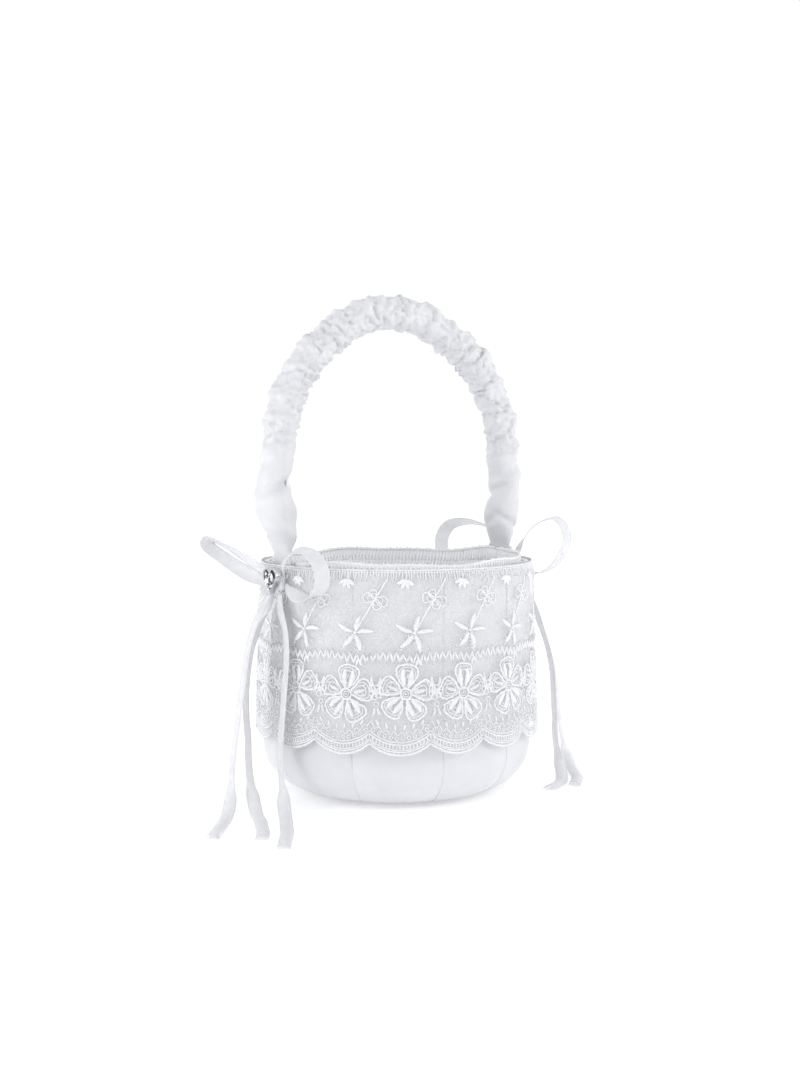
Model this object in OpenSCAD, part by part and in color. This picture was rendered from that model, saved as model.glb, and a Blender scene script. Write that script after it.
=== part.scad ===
// Flower girl basket: a stiff satin covered cup with a lace skirt, a ruched
// arched handle and a sheer ribbon bow with a heart stone at each handle foot.
// Millimetres. +Z is up and the base rests on Z = 0. The basket's axis is Z, the
// handle arches from -X to +X, and -Y is the side shown to the front.

/* [Body] */
// Height from the table to the top of the handle
overall_h = 230; // [215:1:245]
// Diameter of the satin covered wall
body_d = 126; // [124:1:130]
// Height of the basket's rim
rim_h = 106; // [100:1:112]
// Radius of the rounding between the wall and the base
corner_r = 22; // [16:1:26]

/* [Layers] */
// Thickness of the satin cover
cover_t = 0.8; // [0.6:0.1:0.8]
// Thickness of the stiff cup
cup_t = 1.8; // [1.6:0.1:1.8]
// Thickness of the lining
lining_t = 0.6; // [0.5:0.1:0.7]
// Thickness of the round card under the base
base_disc_t = 0.6; // [0.4:0.1:0.8]
// Thickness of the board on the cup's floor, under the lining
floor_board_t = 1.2; // [0.8:0.1:1.2]

/* [Lace skirt] */
// Diameter of the skirt at its hem
hem_d = 134; // [132:1:138]
// Height of the lowest point of the hem
hem_h = 27; // [20:1:40]
// Number of scallops round the hem
scallops = 16; // [12:1:20]
// How far the notches between scallops rise above the hem's lowest point
scallop_rise = 5; // [3:0.5:6]
// Thickness of the lace
lace_t = 0.6; // [0.5:0.1:0.8]

/* [Braid] */
// Height of the braid glued inside the rim
braid_h = 9.6; // [7:0.2:11]
// How far the braid stands above the rim
braid_proud = 1.2; // [0.4:0.1:1.2]

/* [Handle] */
// Width of the stiff strip inside the handle
strip_w = 12; // [10:1:12]
// Thickness of the stiff strip
strip_t = 1; // [0.8:0.1:1]
// How far the strip reaches down between the cup and the lining
strip_tuck = 30; // [20:1:40]
// Width of the ruched sleeve
sleeve_w = 17; // [15:0.5:18]
// Thickness of the ruched sleeve, measured in the handle's plane
sleeve_t = 14.5; // [12:0.5:16]
// Height of the sleeve's gathers
ruche_h = 0.9; // [0:0.1:1.2]

/* [Bows] */
// Width of the sheer ribbon
ribbon_w = 7; // [5:0.5:7]
// Thickness of the ribbon
ribbon_t = 0.8; // [0.6:0.1:0.8]
// Height of the bows' knots
bow_h = 100; // [96:1:100]
// Turn of the front bow from the handle's plane, in degrees
front_bow_turn = 8; // [4:1:12]
// Turn of the back bow from the handle's plane, in degrees
back_bow_turn = 5; // [2:1:8]
// Width of the heart's setting
heart_w = 11; // [9:0.5:12]
// Height of the heart's setting
heart_h = 11.5; // [9:0.5:12]

/* [Hidden] */

$fn = 96;
gap = 0.2;                  // clearance between neighbouring layers
strip_room = strip_t + 0.6; // space between the cup and the lining for the handle strip
body_r = body_d / 2;
cover_z = base_disc_t + gap;
disc_r = body_r - corner_r - 3;
floor_board_r = body_r - corner_r - 2;

// Distance of each layer's outer face inside the cover's outer face
cup_in = cover_t + gap;
lining_in = cup_in + cup_t + strip_room;
braid_in = lining_in + lining_t + gap;
braid_t = 1.2;

// Radius of the handle strip's middle at the legs, and the height of the arch's centre
leg_x = body_r - cup_in - cup_t - 2 * gap - strip_t / 2;
arch_z = overall_h - sleeve_t / 2 - leg_x;

// Turn of the lace about Z, to where two scallops meet
lace_turn = 230;

// Radius of the lace at the rim, and of the bows' knots
lace_r = body_r + gap;
bow_r = lace_r + lace_t + 2.7;

// Knots
knot_t = 3.6;
knot_w = 7.5;
knot_h = 9;

// Hearts: the setting's depth, its back plate and rim, the stone's clearance in it, the height
// of the stone's crown, and the size of its flat top as a part of its whole size
setting_t = 2.6;
setting_floor = 0.8;
setting_rim = 0.7;
stone_gap = 0.15;
stone_rise = 1.4;
stone_table = 0.62;

// Steps along a loop's path over which it opens out and turns, and how much of its width is
// opened out where the knot holds it
loop_turn_steps = 5;
knot_spread = 0.4;

// Routes of the ribbon loops. Each point is [out from the knot's radius, along the wall, up],
// and a loop leaves its knot and comes back to it.
front_right_route = [
    [1, 5, 2], [3, 9, 8], [4, 17, 14], [5, 25, 15], [5.5, 31, 12], [5.5, 35, 6],
    [5, 34, -1], [4, 28, -5], [3, 20, -5], [1, 11, -4], [-0.5, 5, -2]
];
front_left_route = [
    [1, -5, 2], [6, -10, 7], [12, -18, 12], [18, -26, 16], [21.5, -29, 17],
    [22, -29, 14], [16, -24, 9], [10, -16, 4], [4, -10, 0], [-0.5, -5, -2]
];
back_left_route = [
    [1, 5, 2], [3, 7, 11], [4, 12, 18], [4, 20, 21], [4.5, 29, 22], [5, 37, 20], [5, 41, 14],
    [5, 41, 6], [4.5, 37, -1], [4, 28, -5], [3, 17, -5], [1, 10, -4], [-0.5, 5, -2]
];
back_right_route = [
    [1, -5, 2], [3.5, -8, 11], [7, -13, 20], [11, -18, 24], [15, -22, 25], [18, -25, 20],
    [18.5, -26, 14], [16, -24, 6], [13, -21, 1], [9, -17, -2], [4, -11, -3], [-0.5, -5, -2]
];

// Routes of the ribbon tails, from the knot down to the table and along it
front_a_route = [
    [-69.5, -8, 94], [-73, -8, 88], [-77, -8, 80], [-80, -8, 70], [-82, -8, 58], [-84, -8, 45],
    [-86, -8, 32], [-88, -9, 20], [-90, -12, 11], [-93, -17, 4], [-97, -23, 1], [-101, -29, 0.6],
    [-105, -35, 0.6], [-109, -41, 0.6], [-113, -47, 0.6]
];
front_b_route = [
    [-68, -9, 93.5], [-70, -5, 86], [-73, -3, 78], [-76, -2, 68], [-78, -2, 56], [-79, -3, 43],
    [-79, -5, 30], [-80, -8, 19], [-81, -13, 10], [-82, -19, 3], [-84, -26, 0.8], [-86, -34, 0.6],
    [-89, -42, 0.6], [-92, -50, 0.6], [-96, -58, 0.6]
];
front_c_route = [
    [-66.4, -12, 94], [-67, -14, 87], [-66, -17, 78], [-66, -18, 66], [-67, -18, 54],
    [-68, -18, 42], [-69, -18, 30], [-70, -20, 19], [-71, -24, 10], [-73, -30, 3],
    [-76, -38, 0.8], [-80, -47, 0.6], [-84, -56, 0.6], [-89, -65, 0.6], [-94, -74, 0.6]
];
back_a_route = [
    [68.4, 3, 93.5], [73, -3, 88], [76, -7, 80], [78, -10, 70], [80, -13, 59], [81, -15, 48],
    [81, -16, 37], [81, -17, 26], [80, -19, 16], [79, -23, 7], [76, -29, 2], [72, -35, 0.6],
    [67, -41, 0.6], [61, -46, 0.6], [54, -50, 0.6]
];
back_b_route = [
    [69.8, 7, 93], [74, 3, 88], [78, -1, 80], [81, -4, 70], [84, -7, 59], [86, -9, 48],
    [87, -10, 37], [88, -11, 26], [88, -13, 16], [88, -17, 7], [86, -24, 2], [83, -31, 0.6],
    [79, -38, 0.6], [74, -44, 0.6], [68, -50, 0.6]
];

// ---- Geometry helpers ----

function unit(v) = v / norm(v);
function mix(a, b, t) = a + (b - a) * t;
function smooth(t) = t * t * (3 - 2 * t);
function clamp01(t) = min(max(t, 0), 1);

// Direction of travel at point i of a path
function heading(path, i) =
    unit(path[min(i + 1, len(path) - 1)] - path[max(i - 1, 0)]);

// The part of a direction that is square to the heading
function square_to(dir, head) = unit(dir - (dir * head) * head);

// One segment of a smooth curve through a list of points
function curve_at(p, i, t) =
    let (
        a = p[max(i - 1, 0)],
        b = p[i],
        c = p[i + 1],
        d = p[min(i + 2, len(p) - 1)]
    )
    0.5 * (2 * b + (c - a) * t + (2 * a - 5 * b + 4 * c - d) * t * t
        + (3 * b - a - 3 * c + d) * t * t * t);

// A smooth curve through a list of points, with n steps to a segment
function smooth_path(p, n) = concat(
    [for (i = [0 : len(p) - 2], k = [0 : n - 1]) curve_at(p, i, k / n)],
    [p[len(p) - 1]]
);

// Triangles that join a stack of rings of n points each, closed at both ends
function ring_faces(rings, n) = concat(
    [for (i = [0 : rings - 2], j = [0 : n - 1])
        [i * n + j, i * n + (j + 1) % n, (i + 1) * n + j]],
    [for (i = [0 : rings - 2], j = [0 : n - 1])
        [(i + 1) * n + j, i * n + (j + 1) % n, (i + 1) * n + (j + 1) % n]],
    [for (j = [1 : n - 2]) [0, j + 1, j]],
    [for (j = [1 : n - 2]) [(rings - 1) * n, (rings - 1) * n + j, (rings - 1) * n + j + 1]]
);

// Triangles that join a closed loop of sections of n points each
function loop_faces(sections, n) = [
    for (i = [0 : sections - 1], j = [0 : n - 1])
        let (a = i * n, b = (i + 1) % sections * n, k = (j + 1) % n)
        each [[a + j, b + j, a + k], [b + j, b + k, a + k]]
];

// Outline of a flat ribbon's section, as [across, through]
ribbon_sides = 10;
function ribbon_section(w, t) = [
    [w / 2, t / 4], [w / 2 - t / 2, t / 2], [0, t / 2], [-w / 2 + t / 2, t / 2], [-w / 2, t / 4],
    [-w / 2, -t / 4], [-w / 2 + t / 2, -t / 2], [0, -t / 2], [w / 2 - t / 2, -t / 2], [w / 2, -t / 4]
];

// A ribbon swept along a path. At each point sides gives the direction of its width, and
// spread how much of its width is opened out
module ribbon(path, sides, spread) {
    points = [
        for (i = [0 : len(path) - 1])
            let (
                head = heading(path, i),
                side = square_to(sides[i], head),
                face = cross(head, side)
            )
            for (s = ribbon_section(ribbon_w * spread[i], ribbon_t))
                path[i] + side * s[0] + face * s[1]
    ];
    polyhedron(points, ring_faces(len(path), ribbon_sides));
}

// Direction on the table that is square to a route at point i
function beside(route, i) =
    let (run = route[min(i + 1, len(route) - 1)] - route[max(i - 1, 0)])
    unit([-run[1], run[0], 0]);

// A tail hangs with its width along the wall, turns over a few of its route's points, and lies
// with its width square to its run
lay_from = 2;
lay_points = 8;
module tail(route, wall_dir) {
    last = len(route) - 1;
    flip = wall_dir * beside(route, round(last / 2)) < 0 ? -1 : 1;
    sides = [
        for (i = [0 : last])
            mix(wall_dir, beside(route, i) * flip, smooth(clamp01((i - lay_from) / lay_points)))
    ];
    ribbon(route, sides, [for (i = [0 : last]) 1]);
}

// A bow point [out, along, up] in the basket's frame, for a bow at a given azimuth
function bow_point(azimuth, p) =
    let (turn = azimuth + p[1] / bow_r * 180 / PI, r = bow_r + p[0])
    [r * cos(turn), r * sin(turn), bow_h + p[2]];

function outward(azimuth) = [cos(azimuth), sin(azimuth), 0];
function along_wall(azimuth) = [-sin(azimuth), cos(azimuth), 0];

// A ribbon loop: gathered upright where the knot holds it, then opened out and turned square
// to the plane it lies in
module bow_loop(azimuth, route) {
    path = smooth_path([for (p = route) bow_point(azimuth, p)], 3);
    last = len(path) - 1;
    reach = path[round(last / 2)] - path[0];
    side = unit([reach[1], -reach[0], 0]);
    flip = side * outward(azimuth) < 0 ? -1 : 1;
    turned = [for (i = [0 : last]) smooth(clamp01(min(i, last - i) / loop_turn_steps))];
    sides = [for (t = turned) mix([0, 0, 1], side * flip, t)];
    ribbon(path, sides, [for (t = turned) mix(knot_spread, 1, t)]);
}

// Right half of a cup's outline, inset from the cover's outer face
module cup_outline(inset, top) {
    r = body_r - inset;
    z = cover_z + inset;
    c = corner_r - inset;
    translate([0, z]) square([r - c, top - z]);
    translate([0, z + c]) square([r, top - z - c]);
    translate([r - c, z + c]) circle(r = c);
}

// A layer of the cup, from one inset to a deeper one
module cup_layer(inset, thickness) {
    rotate_extrude()
        difference() {
            cup_outline(inset, rim_h);
            translate([0, 0.01]) cup_outline(inset + thickness, rim_h + 1);
        }
}

// ---- Body ----

module cup_shell() {
    color("BurlyWood") cup_layer(cup_in, cup_t);
}

module satin_cover() {
    color("White") cup_layer(0, cover_t);
}

module lining() {
    color("WhiteSmoke") cup_layer(lining_in, lining_t);
}

// Round card that closes the gathered satin under the base
module base_disc() {
    color("Snow") cylinder(r = disc_r, h = base_disc_t);
}

// Board that stiffens the floor, between the cup and the lining
module floor_board() {
    color("Tan")
        translate([0, 0, cover_z + cup_in + cup_t + gap])
            cylinder(r = floor_board_r, h = floor_board_t);
}

// Braid glued round the inside of the rim
module rim_braid() {
    r = body_r - braid_in;
    bottom = rim_h + braid_proud - braid_h;
    color("Silver")
        rotate_extrude() {
            translate([r - braid_t, bottom]) square([braid_t, braid_h - braid_t / 2]);
            translate([r - braid_t / 2, bottom + braid_h - braid_t / 2]) circle(r = braid_t / 2);
        }
}

// Height of the hem at a fraction of the way along one scallop
function hem_at(t) =
    let (
        half = PI * hem_d / scallops / 2,
        arc_r = (half * half + scallop_rise * scallop_rise) / (2 * scallop_rise),
        across = (2 * t - 1) * half
    )
    hem_h + arc_r - sqrt(arc_r * arc_r - across * across);

// Outer radius of the skirt at a height below its straight top band
function skirt_r(z) =
    mix(hem_d / 2, lace_r + lace_t, (z - hem_h) / (rim_h - skirt_band - hem_h));

// Lace skirt, flared from a straight band at the rim to a scalloped hem
skirt_band = 3;
skirt_steps = 8;
module lace_skirt() {
    columns = scallops * skirt_steps;
    top = rim_h + braid_proud;
    bend = rim_h - skirt_band;
    points = [
        for (i = [0 : columns - 1])
            let (
                turn = lace_turn + 360 * i / columns,
                hem = hem_at((i % skirt_steps) / skirt_steps),
                r = skirt_r(hem)
            )
            for (p = [
                [lace_r, top], [lace_r, bend], [r - lace_t, hem],
                [r, hem], [lace_r + lace_t, bend], [lace_r + lace_t, top]
            ])
                [p[0] * cos(turn), p[0] * sin(turn), p[1]]
    ];
    color("Ivory") polyhedron(points, loop_faces(columns, 6));
}

// ---- Handle ----

// Outline of the handle strip, as an arch in the XZ plane
module arch_outline(leg_bottom, thickness) {
    outer = leg_x + thickness / 2;
    inner = leg_x - thickness / 2;
    difference() {
        union() {
            translate([0, arch_z]) circle(r = outer);
            translate([-outer, leg_bottom]) square([2 * outer, arch_z - leg_bottom]);
        }
        translate([0, arch_z]) circle(r = inner);
        translate([-inner, leg_bottom - 1]) square([2 * inner, arch_z - leg_bottom + 1]);
    }
}

// Stiff strip that arches over the basket and is bonded between the cup and the lining
module handle_strip() {
    color("Gainsboro")
        rotate([90, 0, 0])
            translate([0, 0, -strip_w / 2])
                linear_extrude(strip_w, $fn = 180)
                    arch_outline(rim_h - strip_tuck, strip_t);
}

// Point of the arch at a distance s along it from the left foot, and the way out from it
sleeve_z = rim_h + 0.4;
leg_l = arch_z - sleeve_z;
arch_l = PI * leg_x;
sleeve_l = 2 * leg_l + arch_l;
function arch_turn(s) = clamp01((s - leg_l) / arch_l) * 180;
function arch_out(s) = [-cos(arch_turn(s)), 0, sin(arch_turn(s))];
function arch_point(s) =
    [0, 0, arch_z] + leg_x * arch_out(s)
    - [0, 0, max(leg_l - s, s - leg_l - arch_l, 0)];

// How full the sleeve is at a distance s: it is pinched flat where it is tucked into the rim
pinch_l = 1.6;
swell_l = 15;
foot_t = 2.6;
foot_w = 19;
function fullness(s) = smooth(clamp01((min(s, sleeve_l - s) - pinch_l) / swell_l));

// Gathers along the sleeve, which shift round it so that no two are alike
function gather(s, a) =
    ruche_h * fullness(s) * (0.6 * sin(s * 41 + 50 * sin(a)) + 0.4 * sin(s * 67 - 70 * cos(a)));

// Satin sleeve gathered over the strip, with a slot that clears the strip
slot_gap = 0.4;
module handle_sleeve() {
    rings = 112;
    sides = 16;
    points = [
        for (i = [0 : rings - 1])
            let (
                s = sleeve_l * i / (rings - 1),
                half_t = mix(foot_t, sleeve_t, fullness(s)) / 2,
                half_w = mix(foot_w, sleeve_w, fullness(s)) / 2
            )
            for (j = [0 : sides - 1])
                let (a = 360 * j / sides)
                arch_point(s)
                + arch_out(s) * (half_t + gather(s, a)) * sin(a)
                + [0, 1, 0] * (half_w + gather(s, a)) * cos(a)
    ];
    color("White")
        difference() {
            polyhedron(points, ring_faces(rings, sides));
            rotate([90, 0, 0])
                translate([0, 0, -strip_w / 2 - slot_gap])
                    linear_extrude(strip_w + 2 * slot_gap, $fn = 60)
                        arch_outline(sleeve_z - 1, strip_t + 2 * slot_gap);
        }
}

// ---- Bows ----

front_azimuth = 180 + front_bow_turn;
back_azimuth = back_bow_turn;

// Moves its children to a bow: X along the wall, Y up, Z out from the knot's back
module at_bow(azimuth, out) {
    translate(bow_point(azimuth, [out, 0, 0]))
        rotate([90, 0, azimuth + 90])
            children();
}

module rounded_outline(w, h, r) {
    square([w - 2 * r, h], center = true);
    square([w, h - 2 * r], center = true);
    for (x = [-1, 1], y = [-1, 1])
        translate([x * (w / 2 - r), y * (h / 2 - r)]) circle(r = r);
}

// Band of ribbon tied round the middle of a bow
module knot(azimuth) {
    color("White")
        at_bow(azimuth, -knot_t / 2)
            linear_extrude(knot_t) rounded_outline(knot_w, knot_h, 1.8);
}

// Outline of a heart standing on its point, w wide and h high, centred on the middle of its width
function heart_points(w, h) = [
    for (i = [0 : 47])
        let (
            a = i * 360 / 48,
            x = pow(sin(a), 3),
            y = (13 * cos(a) - 5 * cos(2 * a) - 2 * cos(3 * a) - cos(4 * a) + 2.5) / 29
        )
        [-x * w / 2, y * h]
];

// Silver heart cup that holds the stone, with its back on the knot
module heart_setting(azimuth) {
    color("Silver")
        at_bow(azimuth, knot_t / 2 + gap)
            difference() {
                linear_extrude(setting_t) polygon(heart_points(heart_w, heart_h));
                translate([0, 0, setting_floor])
                    linear_extrude(setting_t)
                        polygon(heart_points(heart_w - 2 * setting_rim, heart_h - 2 * setting_rim));
            }
}

// Clear heart stone with a sloping crown and a flat top
module heart_stone(azimuth) {
    w = heart_w - 2 * (setting_rim + stone_gap);
    h = heart_h - 2 * (setting_rim + stone_gap);
    girdle = setting_t - setting_floor - gap;
    color("LightCyan")
        at_bow(azimuth, knot_t / 2 + gap + setting_floor + stone_gap) {
            linear_extrude(girdle) polygon(heart_points(w, h));
            translate([0, 0, girdle - 0.01])
                linear_extrude(stone_rise, scale = stone_table) polygon(heart_points(w, h));
        }
}

module front_loop_right() {
    color("White") bow_loop(front_azimuth, front_right_route);
}

module front_loop_left() {
    color("White") bow_loop(front_azimuth, front_left_route);
}

module front_knot() {
    knot(front_azimuth);
}

module front_tail_a() {
    color("White") tail(front_a_route, along_wall(front_azimuth));
}

module front_tail_b() {
    color("White") tail(front_b_route, along_wall(front_azimuth));
}

module front_tail_c() {
    color("White") tail(front_c_route, along_wall(front_azimuth));
}

module front_heart_setting() {
    heart_setting(front_azimuth);
}

module front_heart_stone() {
    heart_stone(front_azimuth);
}

module back_loop_left() {
    color("White") bow_loop(back_azimuth, back_left_route);
}

module back_loop_right() {
    color("White") bow_loop(back_azimuth, back_right_route);
}

module back_knot() {
    knot(back_azimuth);
}

module back_tail_a() {
    color("White") tail(back_a_route, along_wall(back_azimuth));
}

module back_tail_b() {
    color("White") tail(back_b_route, along_wall(back_azimuth));
}

module back_heart_setting() {
    heart_setting(back_azimuth);
}

module back_heart_stone() {
    heart_stone(back_azimuth);
}

cup_shell();
satin_cover();
base_disc();
floor_board();
lining();
rim_braid();
lace_skirt();
handle_strip();
handle_sleeve();
front_loop_right();
front_loop_left();
front_knot();
front_tail_a();
front_tail_b();
front_tail_c();
front_heart_setting();
front_heart_stone();
back_loop_left();
back_loop_right();
back_knot();
back_tail_a();
back_tail_b();
back_heart_setting();
back_heart_stone();
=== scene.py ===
import math

import bmesh
import bpy
import numpy as np
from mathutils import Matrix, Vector


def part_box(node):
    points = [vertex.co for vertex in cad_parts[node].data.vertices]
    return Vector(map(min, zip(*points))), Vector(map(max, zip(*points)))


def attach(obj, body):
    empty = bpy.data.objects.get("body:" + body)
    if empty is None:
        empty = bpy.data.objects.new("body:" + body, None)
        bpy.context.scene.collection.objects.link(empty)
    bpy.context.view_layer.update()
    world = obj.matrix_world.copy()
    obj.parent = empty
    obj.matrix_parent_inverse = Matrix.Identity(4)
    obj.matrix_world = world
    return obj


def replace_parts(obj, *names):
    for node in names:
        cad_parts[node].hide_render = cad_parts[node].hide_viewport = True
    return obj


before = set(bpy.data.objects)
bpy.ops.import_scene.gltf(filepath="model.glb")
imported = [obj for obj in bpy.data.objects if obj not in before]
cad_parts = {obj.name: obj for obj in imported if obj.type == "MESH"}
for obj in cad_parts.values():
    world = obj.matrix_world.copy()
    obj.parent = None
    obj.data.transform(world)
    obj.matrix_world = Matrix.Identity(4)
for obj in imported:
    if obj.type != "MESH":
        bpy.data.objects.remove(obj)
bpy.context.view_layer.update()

# Lengths in this script are in millimetres, and angles in degrees, unless a name or a comment
# says otherwise. piece() turns lengths into metres. The cord routes are in metres already.
MM = 0.001
rng = np.random.default_rng(738)


# ---- Sizes, all from the frame ----

def node_box(node):
    """Lowest and highest corner of a CAD node, in millimetres"""
    low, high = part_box(node)
    return np.array(low) / MM, np.array(high) / MM


def half_width(node):
    low, high = node_box(node)
    return (high[1] - low[1]) / 2


def bow_frame(node):
    """Turn round Z, radius and height of the middle of a bow's knot"""
    low, high = node_box(node)
    middle = (low + high) / 2
    return math.degrees(math.atan2(middle[1], middle[0])), math.hypot(middle[0], middle[1]), middle[2]


COVER_R = half_width("satin_cover")
COVER_Z = node_box("satin_cover")[0][2]
RIM_Z = node_box("satin_cover")[1][2]
CUP_R = half_width("cup_shell")
LINING_R = half_width("lining")
LINING_Z = node_box("lining")[0][2]
BRAID_R = half_width("rim_braid")
BRAID_LOW, BRAID_TOP = node_box("rim_braid")[0][2], node_box("rim_braid")[1][2]
DISC_R = half_width("base_disc")
HEM_R = half_width("lace_skirt")
HEM_Z = node_box("lace_skirt")[0][2]
LACE_TOP = node_box("lace_skirt")[1][2]
SLEEVE_FOOT = node_box("handle_sleeve")[0][2]
SLEEVE_CREST = node_box("handle_sleeve")[1][2]
STRIP_CREST = node_box("handle_strip")[1][2]
STRIP_OUT = node_box("handle_strip")[1][0]
STRIP_IN = STRIP_OUT - 1


# ---- Camera, floor and light ----

CAMERA_LENS = 42.96
CAMERA_SENSOR = 36          # along the picture's long side
CAMERA_CLIP = (0.02, 20)    # metres
CAMERA_BACK = 615           # from the basket's axis
CAMERA_HEIGHT = 150.5
CAMERA_TURN = 240           # turn round Z of the line from the axis to the camera
CAMERA_AIM_HEIGHT = 113.1   # where the view's middle meets the axis
CAMERA_AIM_RIGHT = 1.65     # and how far to the right of the axis

WORLD_COLOUR = (0.975, 0.98, 1.0, 1)
WORLD_GLOW = (-0.95, 0.05, 0.72, 1.03)  # two cosines to straight ahead, and the strength at each
LAMPS = {                               # turn round Z, distance, height, side, watts
    "key_light": (308, 800, 420, 320, 1.42),
    "left_light": (180, 800, 300, 420, 1.4),
}
LAMP_AIM = (0, 0, 90)
FLOOR_HALF = 3000


def points_of(*coordinates):
    """Points from their coordinates, each of them a number or an array"""
    return np.stack(np.broadcast_arrays(*coordinates), -1)


def full_turn(count):
    """Angles at even steps round a circle, in radians"""
    return np.linspace(0, 2 * np.pi, count, endpoint=False)


def turned(degrees, radius, height=0.0):
    """Point at a turn round Z, a radius and a height"""
    a = np.radians(degrees)
    return points_of(radius * np.cos(a), radius * np.sin(a), height)


def add_object(name, data):
    made = bpy.data.objects.new(name, data)
    bpy.context.scene.collection.objects.link(made)
    return made


def add_mesh(name, verts, faces):
    """Mesh object from places in its own metres"""
    mesh = bpy.data.meshes.new(name)
    mesh.from_pydata(np.asarray(verts, float).tolist(), [], [list(f) for f in faces])
    return add_object(name, mesh)


def look_at(thing, place, aim):
    """Puts a camera or a lamp at a place, in millimetres, looking at another"""
    place, aim = Vector(place) * MM, Vector(aim) * MM
    thing.location = place
    thing.rotation_euler = (aim - place).to_track_quat("-Z", "Y").to_euler()


def make_camera():
    data = bpy.data.cameras.new("camera")
    data.lens = CAMERA_LENS
    data.sensor_width = CAMERA_SENSOR
    data.clip_start, data.clip_end = CAMERA_CLIP
    camera = add_object("camera", data)
    aim = turned(CAMERA_TURN + 90, CAMERA_AIM_RIGHT, CAMERA_AIM_HEIGHT)
    look_at(camera, turned(CAMERA_TURN, CAMERA_BACK, CAMERA_HEIGHT), aim)
    bpy.context.scene.camera = camera


def soft_box(name, turn, back, height, size, watts):
    """Square lamp that faces the basket"""
    data = bpy.data.lights.new(name, "AREA")
    data.shape = "SQUARE"
    data.size = size * MM
    data.energy = watts
    look_at(add_object(name, data), turned(turn, back, height), LAMP_AIM)


def make_studio():
    """White all round behind the basket, and dimmer behind the camera, with soft lamps for shape"""
    world = bpy.data.worlds.new("studio")
    world.use_nodes = True
    tree = world.node_tree
    where = tree.nodes.new("ShaderNodeTexCoord").outputs["Generated"]
    ahead = tree.nodes.new("ShaderNodeVectorMath")
    ahead.operation = "DOT_PRODUCT"
    tree.links.new(where, ahead.inputs[0])
    ahead.inputs[1].default_value = tuple(turned(CAMERA_TURN + 180, 1.0))
    glow = tree.nodes.new("ShaderNodeMapRange")
    tree.links.new(ahead.outputs["Value"], glow.inputs["Value"])
    for socket, value in zip(("From Min", "From Max", "To Min", "To Max"), WORLD_GLOW):
        glow.inputs[socket].default_value = value
    background = tree.nodes["Background"]
    background.inputs["Color"].default_value = WORLD_COLOUR
    tree.links.new(glow.outputs["Result"], background.inputs["Strength"])
    bpy.context.scene.world = world
    bpy.context.scene.view_settings.view_transform = "Standard"
    for name, (turn, back, height, size, watts) in LAMPS.items():
        soft_box(name, turn, back, height, size, watts)


# ---- Meshes ----

def piece(name, verts, faces, material, uvs=None, smooth=True):
    """Adds a mesh that rides on the basket. Places and uvs are given in millimetres."""
    made = add_mesh(name, np.reshape(verts, (-1, 3)) * MM, faces)
    mesh = made.data
    if uvs is not None:
        corner = np.empty(len(mesh.loops), np.int32)
        mesh.loops.foreach_get("vertex_index", corner)
        layer = mesh.uv_layers.new(name="UVMap")
        layer.data.foreach_set("uv", (np.reshape(uvs, (-1, 2))[corner] * MM).ravel())
    work = bmesh.new()
    work.from_mesh(mesh)
    bmesh.ops.recalc_face_normals(work, faces=work.faces)
    work.to_mesh(mesh)
    work.free()
    mesh.polygons.foreach_set("use_smooth", [smooth] * len(mesh.polygons))
    mesh.materials.append(material)
    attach(made, "root")
    return made


def thicken(made, thickness):
    """Gives a sheet its thickness, half to each side"""
    solid = made.modifiers.new("thickness", "SOLIDIFY")
    solid.thickness = thickness * MM
    solid.offset = 0
    return made


def mesh_points(mesh):
    """A mesh's points, in its own metres"""
    flat = np.empty(len(mesh.vertices) * 3)
    mesh.vertices.foreach_get("co", flat)
    return flat.reshape(-1, 3)


def grid_faces(rows, cols, wrap_rows=False, wrap_cols=False):
    """Quads that join rows of cols points each"""
    i = np.arange(rows if wrap_rows else rows - 1)[:, None]
    j = np.arange(cols if wrap_cols else cols - 1)[None, :]
    k, m = (i + 1) % rows, (j + 1) % cols
    return points_of(i * cols + j, i * cols + m, k * cols + m, k * cols + j).reshape(-1, 4)


def tube_faces(rings, sides):
    """Faces of a tube of rings, closed at both ends"""
    ends = [list(range(sides)), list(range((rings - 1) * sides, rings * sides))]
    return grid_faces(rings, sides, wrap_cols=True).tolist() + ends


def unit(v):
    return v / np.maximum(np.linalg.norm(v, axis=-1, keepdims=True), 1e-9)


def smooth_step(t):
    t = np.clip(t, 0, 1)
    return t * t * (3 - 2 * t)


def smooth_path(points, steps):
    """Smooth curve through a list of points, with a number of steps to a segment"""
    p = np.asarray(points, float)
    p = np.vstack([p[:1], p, p[-1:]])
    t = np.arange(steps)[:, None] / steps
    a, b, c, d = p[:-3, None], p[1:-2, None], p[2:-1, None], p[3:, None]
    curve = 0.5 * (2 * b + (c - a) * t + (2 * a - 5 * b + 4 * c - d) * t ** 2
                   + (3 * b - a - 3 * c + d) * t ** 3)
    return np.vstack([curve.reshape(-1, p.shape[1]), p[-1:]])


def path_length(path):
    return float(np.linalg.norm(np.diff(path, axis=0), axis=1).sum())


def along_path(path):
    """Distance of each point along a path"""
    return np.concatenate([[0], np.cumsum(np.linalg.norm(np.diff(path, axis=0), axis=1))])


def ripple(x, y, count, longest, shortest, seed):
    """Smooth noise from a number of seeded waves, from -1 to 1 or so"""
    waves = np.random.default_rng(seed)
    total = np.zeros(np.broadcast(x, y).shape)
    for _ in range(count):
        length = waves.uniform(shortest, longest)
        turn, phase = waves.uniform(0, 2 * math.pi, 2)
        total += np.sin(2 * math.pi * (x * math.cos(turn) + y * math.sin(turn)) / length + phase)
    return total / math.sqrt(count)


# ---- Materials ----

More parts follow.
